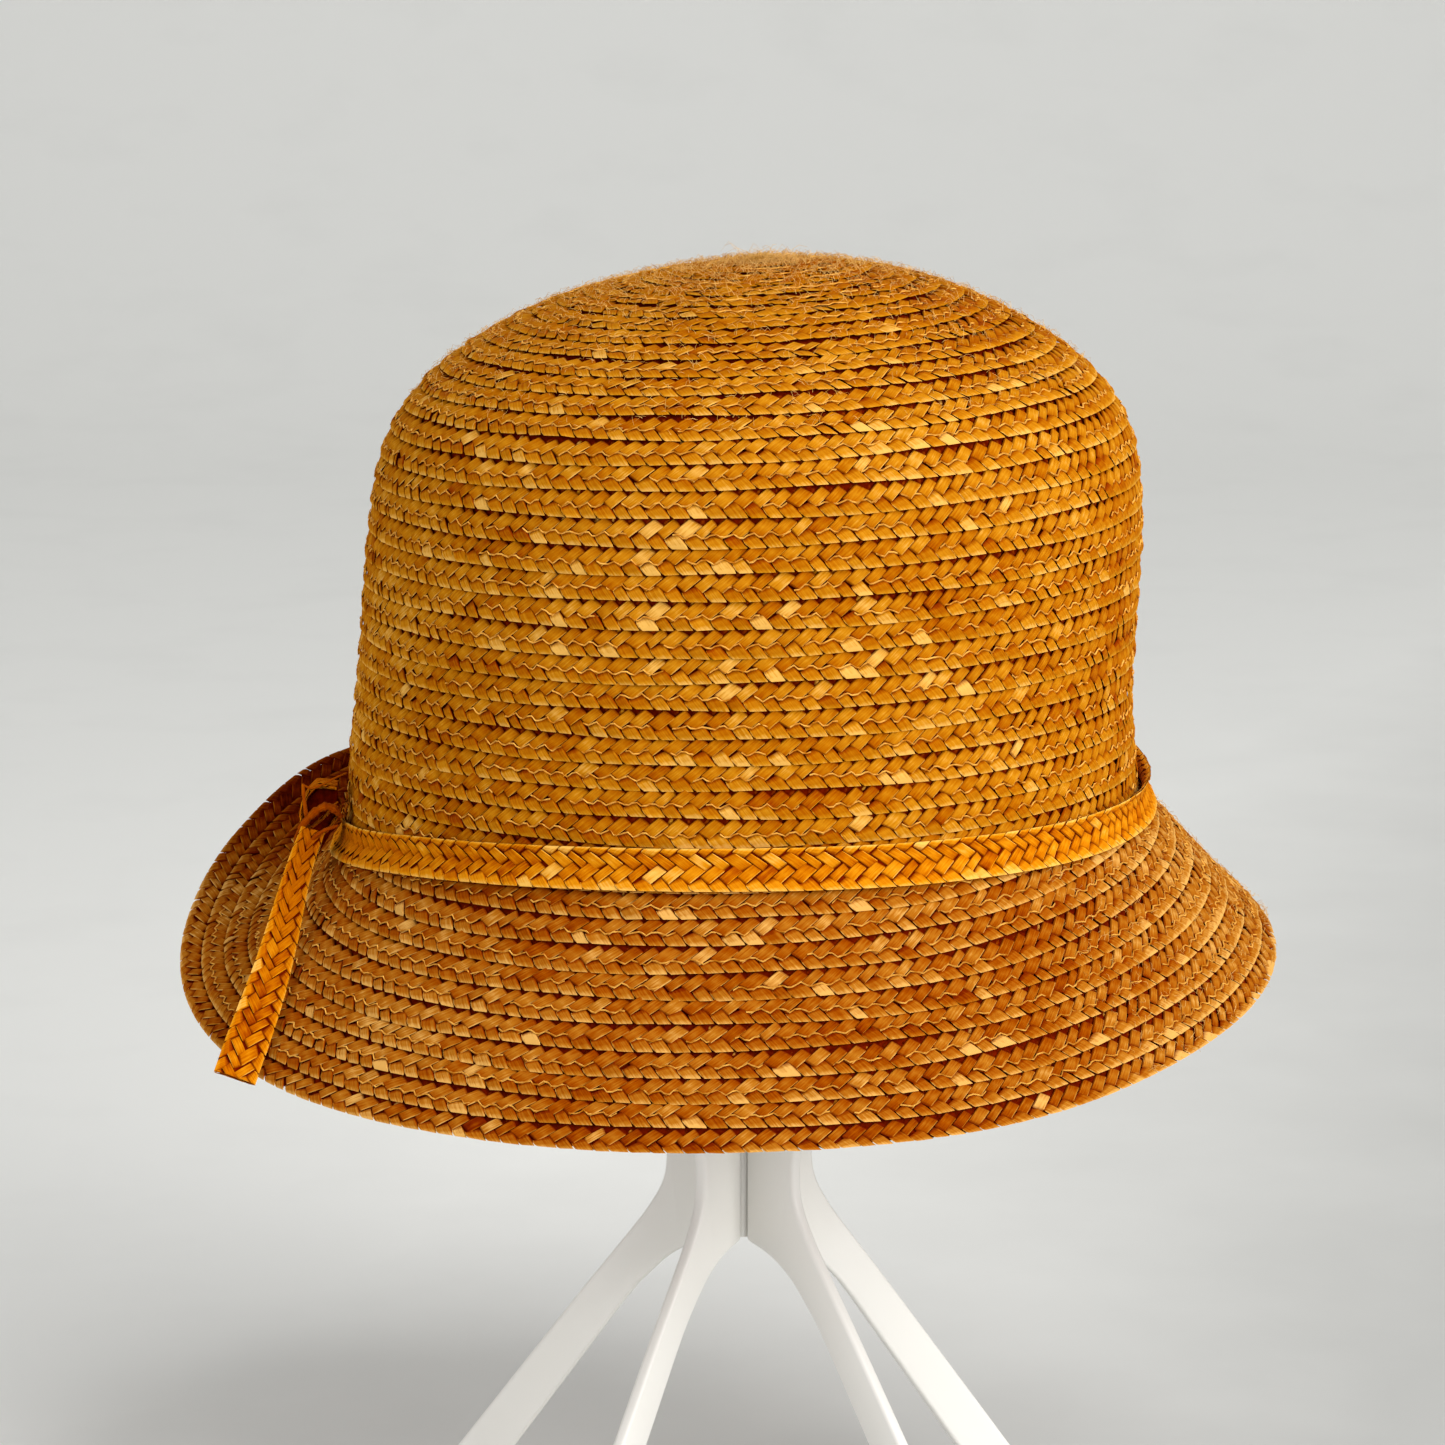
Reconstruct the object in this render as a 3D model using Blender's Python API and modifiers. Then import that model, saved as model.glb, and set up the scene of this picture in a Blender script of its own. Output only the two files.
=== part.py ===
"""Straw cloche hat resting on a four-wing folding hat stand.

The hat is a spiral of plaited straw braid, sewn row over row like shingles, so every row leaves a
step on the outside. The crown and the brim meet under a band of the same braid, whose knot and
hanging tail sit on the left. The stand is four upright plates round a slim post: their tops make
a dome inside the crown and their feet spread on the table.

Tables and sizes are in millimetres and the objects are in metres, +Z up. The front of the hat
looks along -Y, azimuth 0 is the front and a positive azimuth turns towards +X.
"""

import math

import bmesh
import bpy
from mathutils import Vector

MM = 0.001

# Straw braid: each row shows its pitch, and its lower edge stands a step proud over the next row
ROW_PITCH = 6.45
ROW_STEP = 1.0
ROW_EDGE = 0.5
WALL = 1.8
GAP = 0.3
SEGMENTS = 40

# Crown, one row for each height, from the tip down to its lowest level row.
# Columns: height, half width, half depth, centre x, lean (rise of the row for each mm to the right)
CROWN_SECTIONS = (
    (333.4, 0.0, 0.0, 8.0, 0.045),
    (332.6, 14.0, 13.0, 8.0, 0.045),
    (330.0, 31.0, 29.0, 6.8, 0.045),
    (325.2, 48.5, 45.0, 5.2, 0.043),
    (318.2, 63.8, 59.0, 5.0, 0.040),
    (309.5, 77.0, 71.0, 5.2, 0.039),
    (299.0, 87.0, 80.0, 5.8, 0.042),
    (287.0, 92.4, 84.8, 6.6, 0.038),
    (272.0, 94.6, 87.0, 6.5, 0.030),
    (256.0, 95.3, 88.0, 5.6, 0.031),
    (240.0, 95.4, 88.5, 4.6, 0.024),
    (226.0, 95.8, 89.0, 3.6, 0.015),
    (214.6, 97.0, 89.8, 3.3, 0.015),
)
ROWS_UNDER_LEVEL = 3
INNER_RINGS = 11
SLOPE_REACH = 2.0
SMALLEST_RADIUS = 0.05

# The head line, where the crown ends and the brim starts, and the rim, both seen from above.
# Columns: centre x, half width, half depth
HEAD_PLAN = (3.3, 98.0, 90.2)
RIM_PLAN = (-0.3, 137.5, 126.0)
BRIM_ROWS = 9

# Brim, one row for each azimuth.
# Columns: azimuth, head line height, rim height, slope below level at the head, slope at the rim
BRIM_SECTIONS = (
    (-180, 206.5, 189.0, 64, -38),
    (-150, 204.5, 192.0, 64, -46),
    (-130, 200.5, 192.0, 62, -48),
    (-112, 195.0, 179.0, 60, -30),
    (-92, 190.0, 163.0, 58, 2),
    (-72, 192.5, 152.0, 58, 34),
    (-50, 197.0, 145.0, 62, 46),
    (-25, 200.5, 142.8, 66, 50),
    (0, 202.0, 143.0, 68, 50),
    (30, 201.5, 145.6, 66, 49),
    (60, 200.5, 154.5, 60, 46),
    (90, 201.0, 163.0, 46, 45),
    (125, 206.0, 172.0, 48, 22),
    (155, 207.5, 182.0, 60, -12),
)
BRIM_HANDLE = 0.36

# Band and tail, cut from the same braid
BAND_WIDTH = 11.0
BAND_THICKNESS = 1.7
BAND_CLEARANCE = 1.5
# On the right the band's top edge stands further off the crown
BAND_LOOSE = 2.2
BAND_LOOSE_AZIMUTH = 98
BAND_LOOSE_SPREAD = 32

# Tail: its middle line from the knot to the cut end, and the direction across it.
# Columns: x, y, z, across x, across y, across z
TAIL_SECTIONS = (
    (-100.2, -25.2, 195.5, 0.90, -0.28, -0.33),
    (-102.4, -29.3, 190.2, 0.93, -0.20, -0.31),
    (-104.4, -34.8, 184.5, 0.95, -0.12, -0.30),
    (-107.1, -42.8, 176.2, 0.95, -0.08, -0.30),
    (-109.7, -52.4, 168.3, 0.95, -0.08, -0.30),
    (-112.7, -61.4, 160.9, 0.95, -0.08, -0.30),
    (-115.5, -69.8, 154.0, 0.94, -0.08, -0.33),
    (-118.0, -76.3, 147.1, 0.92, -0.08, -0.38),
)

# Knot: the strap folded in an S seen from the front, as x and z of its middle line
KNOT_PATH = (
    (-97.0, 205.4),
    (-102.0, 206.0),
    (-105.2, 202.0),
    (-105.8, 197.2),
    (-103.8, 195.4),
    (-100.2, 198.0),
    (-97.2, 201.4),
    (-96.6, 198.8),
    (-99.2, 195.0),
    (-103.0, 192.0),
    (-106.2, 189.0),
    (-105.4, 185.8),
    (-102.4, 187.4),
)
KNOT_MIDDLE_Y = -15.5
KNOT_WIDTH = 9.0
KNOT_THICKNESS = 1.4

# Stand
STAND_X = 3.5
WING_AZIMUTHS = (-110, -32, 42, 122)
WING_THICKNESS = 3.2
WING_EDGE_RADIUS = 0.7
WING_INNER = 3.0
POST_RADIUS = 2.5
POST_BOTTOM = 84.6
POST_TOP = 306.0
POST_SIDES = 16
DOME_TOP = 330.6
DOME_RADIUS = 74.0
DOME_CENTRE_HEIGHT = DOME_TOP - DOME_RADIUS
DOME_STEPS = 9
DOME_LAST_ANGLE = 98.0
# Outer side of a wing below its dome, then its foot and the arch back to the post.
# Columns: radius, height
WING_LOWER = (
    (74.0, 238.0),
    (70.0, 205.0),
    (58.0, 172.0),
    (40.0, 146.0),
    (26.0, 126.0),
    (21.2, 112.0),
    (20.4, 103.0),
    (21.6, 96.5),
    (25.5, 89.5),
    (31.0, 82.0),
    (43.0, 66.5),
    (90.5, 3.5),
    (92.0, 0.0),
    (76.5, 0.0),
    (75.0, 4.0),
    (31.5, 64.5),
    (25.0, 72.0),
    (18.5, 78.0),
    (11.0, 82.0),
    (WING_INNER, 84.0),
)

STRAW = (0.36, 0.13, 0.022, 1.0)
STRAW_BAND = (0.40, 0.14, 0.018, 1.0)
WHITE_PLASTIC = (0.78, 0.77, 0.74, 1.0)


def clear_scene():
    for old in list(bpy.data.objects):
        bpy.data.objects.remove(old, do_unlink=True)


def new_collection(name):
    collection = bpy.data.collections.new(name)
    bpy.context.scene.collection.children.link(collection)
    return collection


def new_material(name, colour, roughness):
    material = bpy.data.materials.new(name)
    material.use_nodes = True
    shader = material.node_tree.nodes["Principled BSDF"]
    shader.inputs["Base Color"].default_value = colour
    shader.inputs["Roughness"].default_value = roughness
    material.diffuse_color = colour
    return material


def add_object(name, mesh, collection, material, smooth_angle=50):
    mesh.materials.append(material)
    for polygon in mesh.polygons:
        polygon.use_smooth = True
    mesh.set_sharp_from_angle(angle=math.radians(smooth_angle))
    made = bpy.data.objects.new(name, mesh)
    collection.objects.link(made)
    return made


def smooth_value(table, at, column):
    """A column of a table, read at a value of its first column, along a Catmull-Rom curve."""
    place = 0
    while place < len(table) - 2 and table[place + 1][0] < at:
        place += 1
    before = table[max(place - 1, 0)]
    low = table[place]
    high = table[place + 1]
    after = table[min(place + 2, len(table) - 1)]
    span = high[0] - low[0]
    f = (at - low[0]) / span
    low_slope = (high[column] - before[column]) / (high[0] - before[0]) * span
    high_slope = (after[column] - low[column]) / (after[0] - low[0]) * span
    return (
        (2 * f**3 - 3 * f**2 + 1) * low[column]
        + (f**3 - 2 * f**2 + f) * low_slope
        + (3 * f**2 - 2 * f**3) * high[column]
        + (f**3 - f**2) * high_slope
    )


def round_table(table):
    """The table with its first and last rows repeated a turn away, so that it reads as a circle."""
    before = tuple((row[0] - 360, *row[1:]) for row in table[-2:])
    after = tuple((row[0] + 360, *row[1:]) for row in table[:2])
    return before + table + after


BRIM_CIRCLE = round_table(BRIM_SECTIONS)


def brim_value(azimuth, column):
    return smooth_value(BRIM_CIRCLE, azimuth, column)


def plan_point(plan, azimuth, height):
    centre, half_width, half_depth = plan
    angle = math.radians(azimuth)
    return Vector(
        (centre + half_width * math.sin(angle), -half_depth * math.cos(angle), height)
    )


def azimuths():
    return [-180 + 360 * i / SEGMENTS for i in range(SEGMENTS)]


def crown_path():
    """Crown sections close together down the wall, each after its distance from the tip."""
    steps = 24
    path = []
    length = 0.0
    knots = [(i, *row) for i, row in enumerate(CROWN_SECTIONS)]
    for i in range((len(knots) - 1) * steps + 1):
        row = [smooth_value(knots, i / steps, column) for column in range(1, 6)]
        if path:
            length += math.hypot(row[0] - path[-1][1], row[1] - path[-1][2])
        path.append((length, *row))
    return path


CROWN_PATH = crown_path()
CROWN_LENGTH = CROWN_PATH[-1][0]


def crown_section(distance):
    """Height, half width, half depth, centre x and lean at a distance down the wall from the tip."""
    low = CROWN_PATH[0]
    for high in CROWN_PATH[1:]:
        if high[0] >= distance:
            break
        low = high
    f = min(max((distance - low[0]) / (high[0] - low[0]), 0.0), 1.0)
    return [a + (b - a) * f for a, b in zip(low[1:], high[1:])]


def crown_ring(distance, outwards):
    """One level ring of the crown, moved outwards along the wall's normal."""
    height, half_width, half_depth, centre, lean = crown_section(distance)
    above = crown_section(max(distance - SLOPE_REACH, 0.0))
    below = crown_section(min(distance + SLOPE_REACH, CROWN_LENGTH))
    run = below[1] - above[1]
    drop = above[0] - below[0]
    slant = math.hypot(run, drop)
    half_width = max(half_width + outwards * drop / slant, SMALLEST_RADIUS)
    half_depth = max(half_depth + outwards * drop / slant, SMALLEST_RADIUS)
    height += outwards * run / slant
    ring = []
    for azimuth in azimuths():
        point = plan_point((centre, half_width, half_depth), azimuth, height)
        point.z += lean * (point.x - centre)
        ring.append(point)
    return ring


def seam_ring(outwards, lift):
    """The head line, moved outwards and up."""
    centre, half_width, half_depth = HEAD_PLAN
    plan = (centre, half_width + outwards, half_depth + outwards)
    return [plan_point(plan, a, brim_value(a, 1) + lift) for a in azimuths()]


def between(first, second, fraction):
    return [a.lerp(b, fraction) for a, b in zip(first, second)]


def brim_curve(azimuth, fraction, outwards=0.0):
    """A point of the brim's outer surface, from 0 at the head line to 1 at the rim."""
    head_z, rim_z, head_slope, rim_slope = (brim_value(azimuth, c) for c in range(1, 5))
    head = plan_point(HEAD_PLAN, azimuth, head_z)
    rim = plan_point(RIM_PLAN, azimuth, rim_z)
    outward = Vector((rim.x - head.x, rim.y - head.y, 0.0))
    run = outward.length
    outward.normalize()
    drop = head_z - rim_z
    handle = BRIM_HANDLE * math.hypot(run, drop)
    start = math.radians(head_slope)
    end = math.radians(rim_slope)
    flat = (
        (0.0, 0.0),
        (handle * math.cos(start), -handle * math.sin(start)),
        (run - handle * math.cos(end), -drop + handle * math.sin(end)),
        (run, -drop),
    )
    f = fraction
    weights = ((1 - f) ** 3, 3 * f * (1 - f) ** 2, 3 * f * f * (1 - f), f**3)
    out, up = (sum(w * p[axis] for w, p in zip(weights, flat)) for axis in (0, 1))
    slopes = (3 * (1 - f) ** 2, 6 * f * (1 - f), 3 * f * f)
    go_out, go_up = (
        sum(s * (flat[k + 1][axis] - flat[k][axis]) for k, s in enumerate(slopes))
        for axis in (0, 1)
    )
    size = math.hypot(go_out, go_up)
    out -= outwards * go_up / size
    up += outwards * go_out / size
    return head + outward * out + Vector((0.0, 0.0, up))


def brim_ring(fraction, outwards):
    return [brim_curve(a, fraction, outwards) for a in azimuths()]


def finished_mesh(name, work):
    bmesh.ops.recalc_face_normals(work, faces=work.faces)
    mesh = bpy.data.meshes.new(name)
    work.to_mesh(mesh)
    work.free()
    return mesh


def lofted_mesh(name, rings, first_pole=None, last_pole=None):
    """A closed skin over rings of equal length: joined into a hoop, or closed at a pole at each end."""
    work = bmesh.new()
    lines = [[work.verts.new(point * MM) for point in ring] for ring in rings]
    pairs = list(zip(lines, lines[1:]))
    if first_pole is None:
        pairs.append((lines[-1], lines[0]))
    count = len(lines[0])
    for upper, lower in pairs:
        for i in range(count):
            j = (i + 1) % count
            work.faces.new((upper[i], upper[j], lower[j], lower[i]))
    for pole, line in ((first_pole, lines[0]), (last_pole, lines[-1])):
        if pole is None:
            continue
        tip = work.verts.new(pole * MM)
        for i in range(count):
            work.faces.new((tip, line[i], line[(i + 1) % count]))
    return finished_mesh(name, work)


def crown_mesh():
    rows = int(CROWN_LENGTH // ROW_PITCH)
    tip_row = CROWN_LENGTH - rows * ROW_PITCH
    outer = [crown_ring(tip_row - ROW_EDGE, ROW_STEP)]
    for row in range(rows):
        start = tip_row + row * ROW_PITCH
        outer.append(crown_ring(start, 0.0))
        outer.append(crown_ring(start + ROW_PITCH - ROW_EDGE, ROW_STEP))
    level = crown_ring(CROWN_LENGTH, 0.0)
    level_step = crown_ring(CROWN_LENGTH, ROW_STEP)
    seam = seam_ring(0.0, 0.0)
    seam_step = seam_ring(ROW_STEP, 0.0)
    edge_share = ROW_EDGE / ROW_PITCH
    for row in range(ROWS_UNDER_LEVEL):
        start = row / ROWS_UNDER_LEVEL
        end = (row + 1 - edge_share) / ROWS_UNDER_LEVEL
        outer.append(between(level, seam, start))
        outer.append(between(level_step, seam_step, end))
    outer.append(seam_ring(0.0, GAP))
    inner = [seam_ring(-WALL, GAP)]
    for ring in range(INNER_RINGS):
        distance = CROWN_LENGTH * (1 - ring / INNER_RINGS)
        inner.append(crown_ring(distance, -WALL))
    top = CROWN_SECTIONS[0]
    outer_pole = Vector((top[3], 0.0, top[0] + 0.5 * ROW_STEP))
    inner_pole = Vector((top[3], 0.0, top[0] - WALL))
    return lofted_mesh("crown", outer + inner, outer_pole, inner_pole)


def brim_mesh():
    edge_share = ROW_EDGE / ROW_PITCH
    outer = []
    for row in range(BRIM_ROWS):
        outer.append(brim_ring(row / BRIM_ROWS, 0.0))
        outer.append(brim_ring((row + 1 - edge_share) / BRIM_ROWS, ROW_STEP))
    under = [brim_ring(1 - row / BRIM_ROWS, -WALL) for row in range(BRIM_ROWS + 1)]
    return lofted_mesh("brim", outer + under)


def band_mesh():
    """The band's section follows the crown above the head line and the brim below it."""
    half = BAND_WIDTH / 2
    level = crown_ring(CROWN_LENGTH, 0.0)
    seam = seam_ring(0.0, 0.0)
    sections = []
    for i, azimuth in enumerate(azimuths()):
        wall = (level[i] - seam[i]).normalized()
        rim_step = half / (brim_curve(azimuth, 1.0) - seam[i]).length
        middle_normal = brim_curve(azimuth, 0.0, 1.0) - seam[i]
        low = brim_curve(azimuth, rim_step)
        low_normal = brim_curve(azimuth, rim_step, 1.0) - low
        top_normal = Vector((middle_normal.x, middle_normal.y, 0.0)).normalized()
        from_loose = (azimuth - BAND_LOOSE_AZIMUTH) / BAND_LOOSE_SPREAD
        loose = BAND_LOOSE * math.exp(-from_loose * from_loose)
        places = (
            (seam[i] + wall * half, top_normal, loose),
            (seam[i], middle_normal, 0.5 * loose),
            (low, low_normal, 0.0),
        )
        inner = [at + out * (BAND_CLEARANCE + more) for at, out, more in places]
        outer = [at + out * (BAND_CLEARANCE + BAND_THICKNESS + more) for at, out, more in places]
        sections.append(inner + outer[::-1])
    return lofted_mesh("band", [list(ring) for ring in zip(*sections)])


def tangent(points, i):
    return (points[min(i + 1, len(points) - 1)] - points[max(i - 1, 0)]).normalized()


def strap_mesh(name, middles, acrosses, width, thickness):
    """A flat strap along its middle line, lying across the given directions, closed at both ends."""
    work = bmesh.new()
    lines = []
    for i, (middle, across) in enumerate(zip(middles, acrosses)):
        along = tangent(middles, i)
        half_width = (across - along * across.dot(along)).normalized() * (width / 2)
        half_thickness = along.cross(half_width).normalized() * (thickness / 2)
        corners = (
            middle - half_width - half_thickness,
            middle + half_width - half_thickness,
            middle + half_width + half_thickness,
            middle - half_width + half_thickness,
        )
        lines.append([work.verts.new(corner * MM) for corner in corners])
    for first, second in zip(lines, lines[1:]):
        for i in range(4):
            j = (i + 1) % 4
            work.faces.new((first[i], first[j], second[j], second[i]))
    work.faces.new(lines[0])
    work.faces.new(lines[-1])
    return finished_mesh(name, work)


def tail_mesh():
    middles = [Vector(row[:3]) for row in TAIL_SECTIONS]
    acrosses = [Vector(row[3:]) for row in TAIL_SECTIONS]
    return strap_mesh("tail", middles, acrosses, BAND_WIDTH, BAND_THICKNESS)


def knot_mesh():
    middles = [Vector((x, KNOT_MIDDLE_Y, z)) for x, z in KNOT_PATH]
    acrosses = [Vector((0.0, 1.0, 0.0))] * len(KNOT_PATH)
    return strap_mesh("knot", middles, acrosses, KNOT_WIDTH, KNOT_THICKNESS)


def wing_outline():
    """The wing's outline as radius and height, round from the top of the dome to the post."""
    first = math.asin(WING_INNER / DOME_RADIUS)
    last = math.radians(DOME_LAST_ANGLE)
    dome = []
    for step in range(DOME_STEPS):
        turn = first + (last - first) * step / (DOME_STEPS - 1)
        radius = DOME_RADIUS * math.sin(turn)
        dome.append((radius, DOME_CENTRE_HEIGHT + DOME_RADIUS * math.cos(turn)))
    return dome + list(WING_LOWER)


def wing_object(name, azimuth, collection, material):
    curve = bpy.data.curves.new(name, "CURVE")
    curve.dimensions = "2D"
    curve.fill_mode = "BOTH"
    curve.extrude = WING_THICKNESS / 2 * MM
    outline = wing_outline()
    spline = curve.splines.new("POLY")
    spline.points.add(len(outline) - 1)
    for point, (radius, height) in zip(spline.points, outline):
        point.co = (radius * MM, height * MM, 0.0, 1.0)
    spline.use_cyclic_u = True
    curve.materials.append(material)
    wing = bpy.data.objects.new(name, curve)
    collection.objects.link(wing)
    wing.location = (STAND_X * MM, 0.0, 0.0)
    wing.rotation_euler = (math.radians(90), 0.0, math.radians(azimuth - 90))
    weld = wing.modifiers.new("join_caps", "WELD")
    weld.merge_threshold = 0.0001
    edges = wing.modifiers.new("soft_edges", "BEVEL")
    edges.width = WING_EDGE_RADIUS * MM
    edges.segments = 2
    edges.limit_method = "ANGLE"
    edges.angle_limit = math.radians(60)
    return wing


def post_object(collection, material):
    height = (POST_TOP - POST_BOTTOM) * MM
    work = bmesh.new()
    bmesh.ops.create_cone(
        work,
        cap_ends=True,
        segments=POST_SIDES,
        radius1=POST_RADIUS * MM,
        radius2=POST_RADIUS * MM,
        depth=height,
    )
    mesh = bpy.data.meshes.new("stand_post")
    work.to_mesh(mesh)
    work.free()
    post = add_object("stand_post", mesh, collection, material, 40)
    post.location = (STAND_X * MM, 0.0, (POST_TOP + POST_BOTTOM) / 2 * MM)
    return post


def main():
    clear_scene()
    collection = new_collection("straw_cloche_hat")
    crown_straw = new_material("crown_straw", STRAW, 0.6)
    brim_straw = new_material("brim_straw", STRAW, 0.6)
    band_straw = new_material("band_straw", STRAW_BAND, 0.55)
    knot_straw = new_material("knot_straw", STRAW_BAND, 0.55)
    tail_straw = new_material("tail_straw", STRAW_BAND, 0.55)
    plastic = new_material("white_plastic", WHITE_PLASTIC, 0.35)
    add_object("crown", crown_mesh(), collection, crown_straw)
    add_object("brim", brim_mesh(), collection, brim_straw)
    add_object("band", band_mesh(), collection, band_straw)
    add_object("knot", knot_mesh(), collection, knot_straw)
    add_object("tail", tail_mesh(), collection, tail_straw)
    for number, azimuth in enumerate(WING_AZIMUTHS, 1):
        wing_object(f"stand_wing_{number}", azimuth, collection, plastic)
    post_object(collection, plastic)


main()
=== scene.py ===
"""Looks of a straw cloche hat resting on its white folding stand.

The hat is sewn from one long flat plait of seven straws. Each straw shows as a small leaf between
two crossings, so three leaves are modelled and laid again and again along the rows of the
crown and the brim, and along the band, the knot and the tail. A dark shell under the leaves fills
the gaps with painted shade, and a fine sewing thread runs over the rows of the crown and the brim.

Lengths in the tables are millimetres and are the same as the solids'. Azimuth 0 is the front and a
positive azimuth turns to the right. A place on the plait is (along, down, rise): along the row, down
from the plait's upper edge to its lower one at 11, and up off the hat.
"""

import math

import bmesh
import bpy
import numpy as np
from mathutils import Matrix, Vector


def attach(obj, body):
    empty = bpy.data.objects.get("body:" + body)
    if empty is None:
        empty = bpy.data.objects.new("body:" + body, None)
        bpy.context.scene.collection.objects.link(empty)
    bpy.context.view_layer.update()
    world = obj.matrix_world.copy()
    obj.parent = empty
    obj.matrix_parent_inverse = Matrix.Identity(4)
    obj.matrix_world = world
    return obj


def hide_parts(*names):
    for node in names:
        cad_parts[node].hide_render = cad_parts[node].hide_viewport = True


MM = 0.001

# The plait and its rows
PLAIT_WIDTH = 11.0
LEAF_STEP = 4.2
ROW_PITCH = 6.45
SHOWN_FROM = PLAIT_WIDTH - ROW_PITCH

# Crown: height, half width, half depth, centre x, lean (rise of the row for each mm to the right)
CROWN_SECTIONS = (
    (333.4, 0.0, 0.0, 8.0, 0.045),
    (332.6, 14.0, 13.0, 8.0, 0.045),
    (330.0, 31.0, 29.0, 6.8, 0.045),
    (325.2, 48.5, 45.0, 5.2, 0.043),
    (318.2, 63.8, 59.0, 5.0, 0.040),
    (309.5, 77.0, 71.0, 5.2, 0.039),
    (299.0, 87.0, 80.0, 5.8, 0.042),
    (287.0, 92.4, 84.8, 6.6, 0.038),
    (272.0, 94.6, 87.0, 6.5, 0.030),
    (256.0, 95.3, 88.0, 5.6, 0.031),
    (240.0, 95.4, 88.5, 4.6, 0.024),
    (226.0, 95.8, 89.0, 3.6, 0.015),
    (214.6, 97.0, 89.8, 3.3, 0.015),
)
ROWS_UNDER_LEVEL = 5

# The head line and the rim seen from above: centre x, half width, half depth
HEAD_PLAN = (3.3, 98.0, 90.2)
RIM_PLAN = (-0.3, 137.5, 126.0)

# Brim: azimuth, head line height, rim height, slope below level at the head, slope at the rim
BRIM_SECTIONS = (
    (-180, 206.5, 189.0, 64, -38),
    (-150, 204.5, 192.0, 64, -46),
    (-130, 200.5, 192.0, 62, -48),
    (-112, 195.0, 179.0, 60, -30),
    (-92, 190.0, 163.0, 58, 2),
    (-72, 192.5, 152.0, 58, 34),
    (-50, 197.0, 145.0, 62, 46),
    (-25, 200.5, 142.8, 66, 50),
    (0, 202.0, 143.0, 68, 50),
    (30, 201.5, 145.6, 66, 49),
    (60, 200.5, 154.5, 60, 46),
    (90, 201.0, 163.0, 46, 45),
    (125, 206.0, 172.0, 48, 22),
    (155, 207.5, 182.0, 60, -12),
)
BRIM_HANDLE = 0.36
BRIM_ROWS = 12
BRIM_STEPS = 32

# Band
BAND_THICKNESS = 1.7
BAND_CLEARANCE = 1.5
BAND_LOOSE = 2.2
BAND_LOOSE_AZIMUTH = 98
BAND_LOOSE_SPREAD = 32

# Tail: x, y, z of its middle line, x, y, z of the direction across it, and its width as a share of
# the plait's, which the knot pinches
TAIL_SECTIONS = (
    (-100.2, -25.2, 195.5, 0.90, -0.28, -0.33, 0.55),
    (-102.4, -29.3, 190.2, 0.93, -0.20, -0.31, 0.58),
    (-104.4, -34.8, 184.5, 0.95, -0.12, -0.30, 0.62),
    (-107.1, -42.8, 176.2, 0.95, -0.08, -0.30, 0.72),
    (-109.7, -52.4, 168.3, 0.95, -0.08, -0.30, 0.82),
    (-112.7, -61.4, 160.9, 0.95, -0.08, -0.30, 0.9),
    (-115.5, -69.8, 154.0, 0.94, -0.08, -0.33, 0.93),
    (-118.0, -76.3, 147.1, 0.92, -0.08, -0.38, 0.93),
)

# Knot: the strap folded in an S seen from the front, as x and z of its middle line
KNOT_PATH = (
    (-97.0, 205.4), (-102.0, 206.0), (-105.2, 202.0), (-105.8, 197.2), (-103.8, 195.4),
    (-100.2, 198.0), (-97.2, 201.4), (-96.6, 198.8), (-99.2, 195.0), (-103.0, 192.0),
    (-106.2, 189.0), (-105.4, 185.8), (-102.4, 187.4),
)
KNOT_MIDDLE_Y = -15.5
KNOT_WIDTH = 9.0
KNOT_THICKNESS = 1.4
# The dark heart of the knot, behind its folds, seen from the front: a lump of painted shade in its
# hollows
KNOT_HEART_SHADOW = (
    (-97.3, 204.6), (-101.5, 205.0), (-104.4, 201.8), (-105.0, 197.5), (-104.0, 191.0),
    (-105.2, 188.5), (-104.5, 186.6), (-102.0, 188.0), (-98.5, 194.0), (-96.8, 199.0),
)

# Rolled edges of the knot's folds, each a radius and its line: the strip down the left, the edge on
# top, the arch, and the lip that turns round below it into the top of the tail
KNOT_ROLLS = (
    (0.55, (
        (-105.2, -20.5, 206.9), (-104.9, -20.8, 202.7), (-104.5, -20.8, 198.6), (-105.3, -20.8, 196.2),
    )),
    (0.32, (
        (-105.2, -20.3, 206.7), (-103.3, -20.2, 205.7), (-100.9, -19.8, 206.3), (-97.9, -18.8, 207.7),
        (-94.5, -17.0, 208.9),
    )),
    (1.15, (
        (-106.2, -20.6, 195.4), (-103.6, -21.4, 198.6), (-101.4, -21.8, 200.6), (-99.4, -21.8, 201.4),
        (-97.6, -21.4, 200.7), (-95.8, -20.6, 198.6),
    )),
    (0.6, (
        (-105.6, -20.8, 196.0), (-106.8, -21.4, 194.2), (-106.9, -22.4, 192.2), (-105.8, -24.8, 190.4),
        (-104.0, -26.0, 192.4), (-102.2, -26.4, 194.6), (-100.0, -26.6, 196.3), (-96.2, -25.8, 197.6),
    )),
)
ROLL_SHADE = -0.16

# Leaves of the plait as four corners (along, down): the straw runs from the first corner to the
# second, and the last two corners are on the side of the next leaf
UPPER_EDGE_LEAF = ((1.9, 1.3), (2.6, 0.05), (6.75, 0.15), (4.2, 3.0))
UPPER_MIDDLE_LEAF = ((0.0, 3.0), (4.2, 6.6), (6.1, 4.9), (1.9, 1.3))
UPPER_MIDDLE_TIP = ((2.98, 5.56), (4.2, 6.6), (6.1, 4.9), (4.88, 3.86))
LOWER_MIDDLE_LEAF = ((2.4, 7.9), (6.2, 4.45), (8.45, 6.3), (4.6, 9.7))
FULL_MIDDLE_LEAF = ((2.55, 8.0), (6.25, 4.75), (8.3, 6.45), (4.6, 9.7))
FULL_EDGE_LEAF = ((4.65, 9.6), (5.9, 11.0), (10.1, 10.9), (7.1, 7.9))
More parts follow.
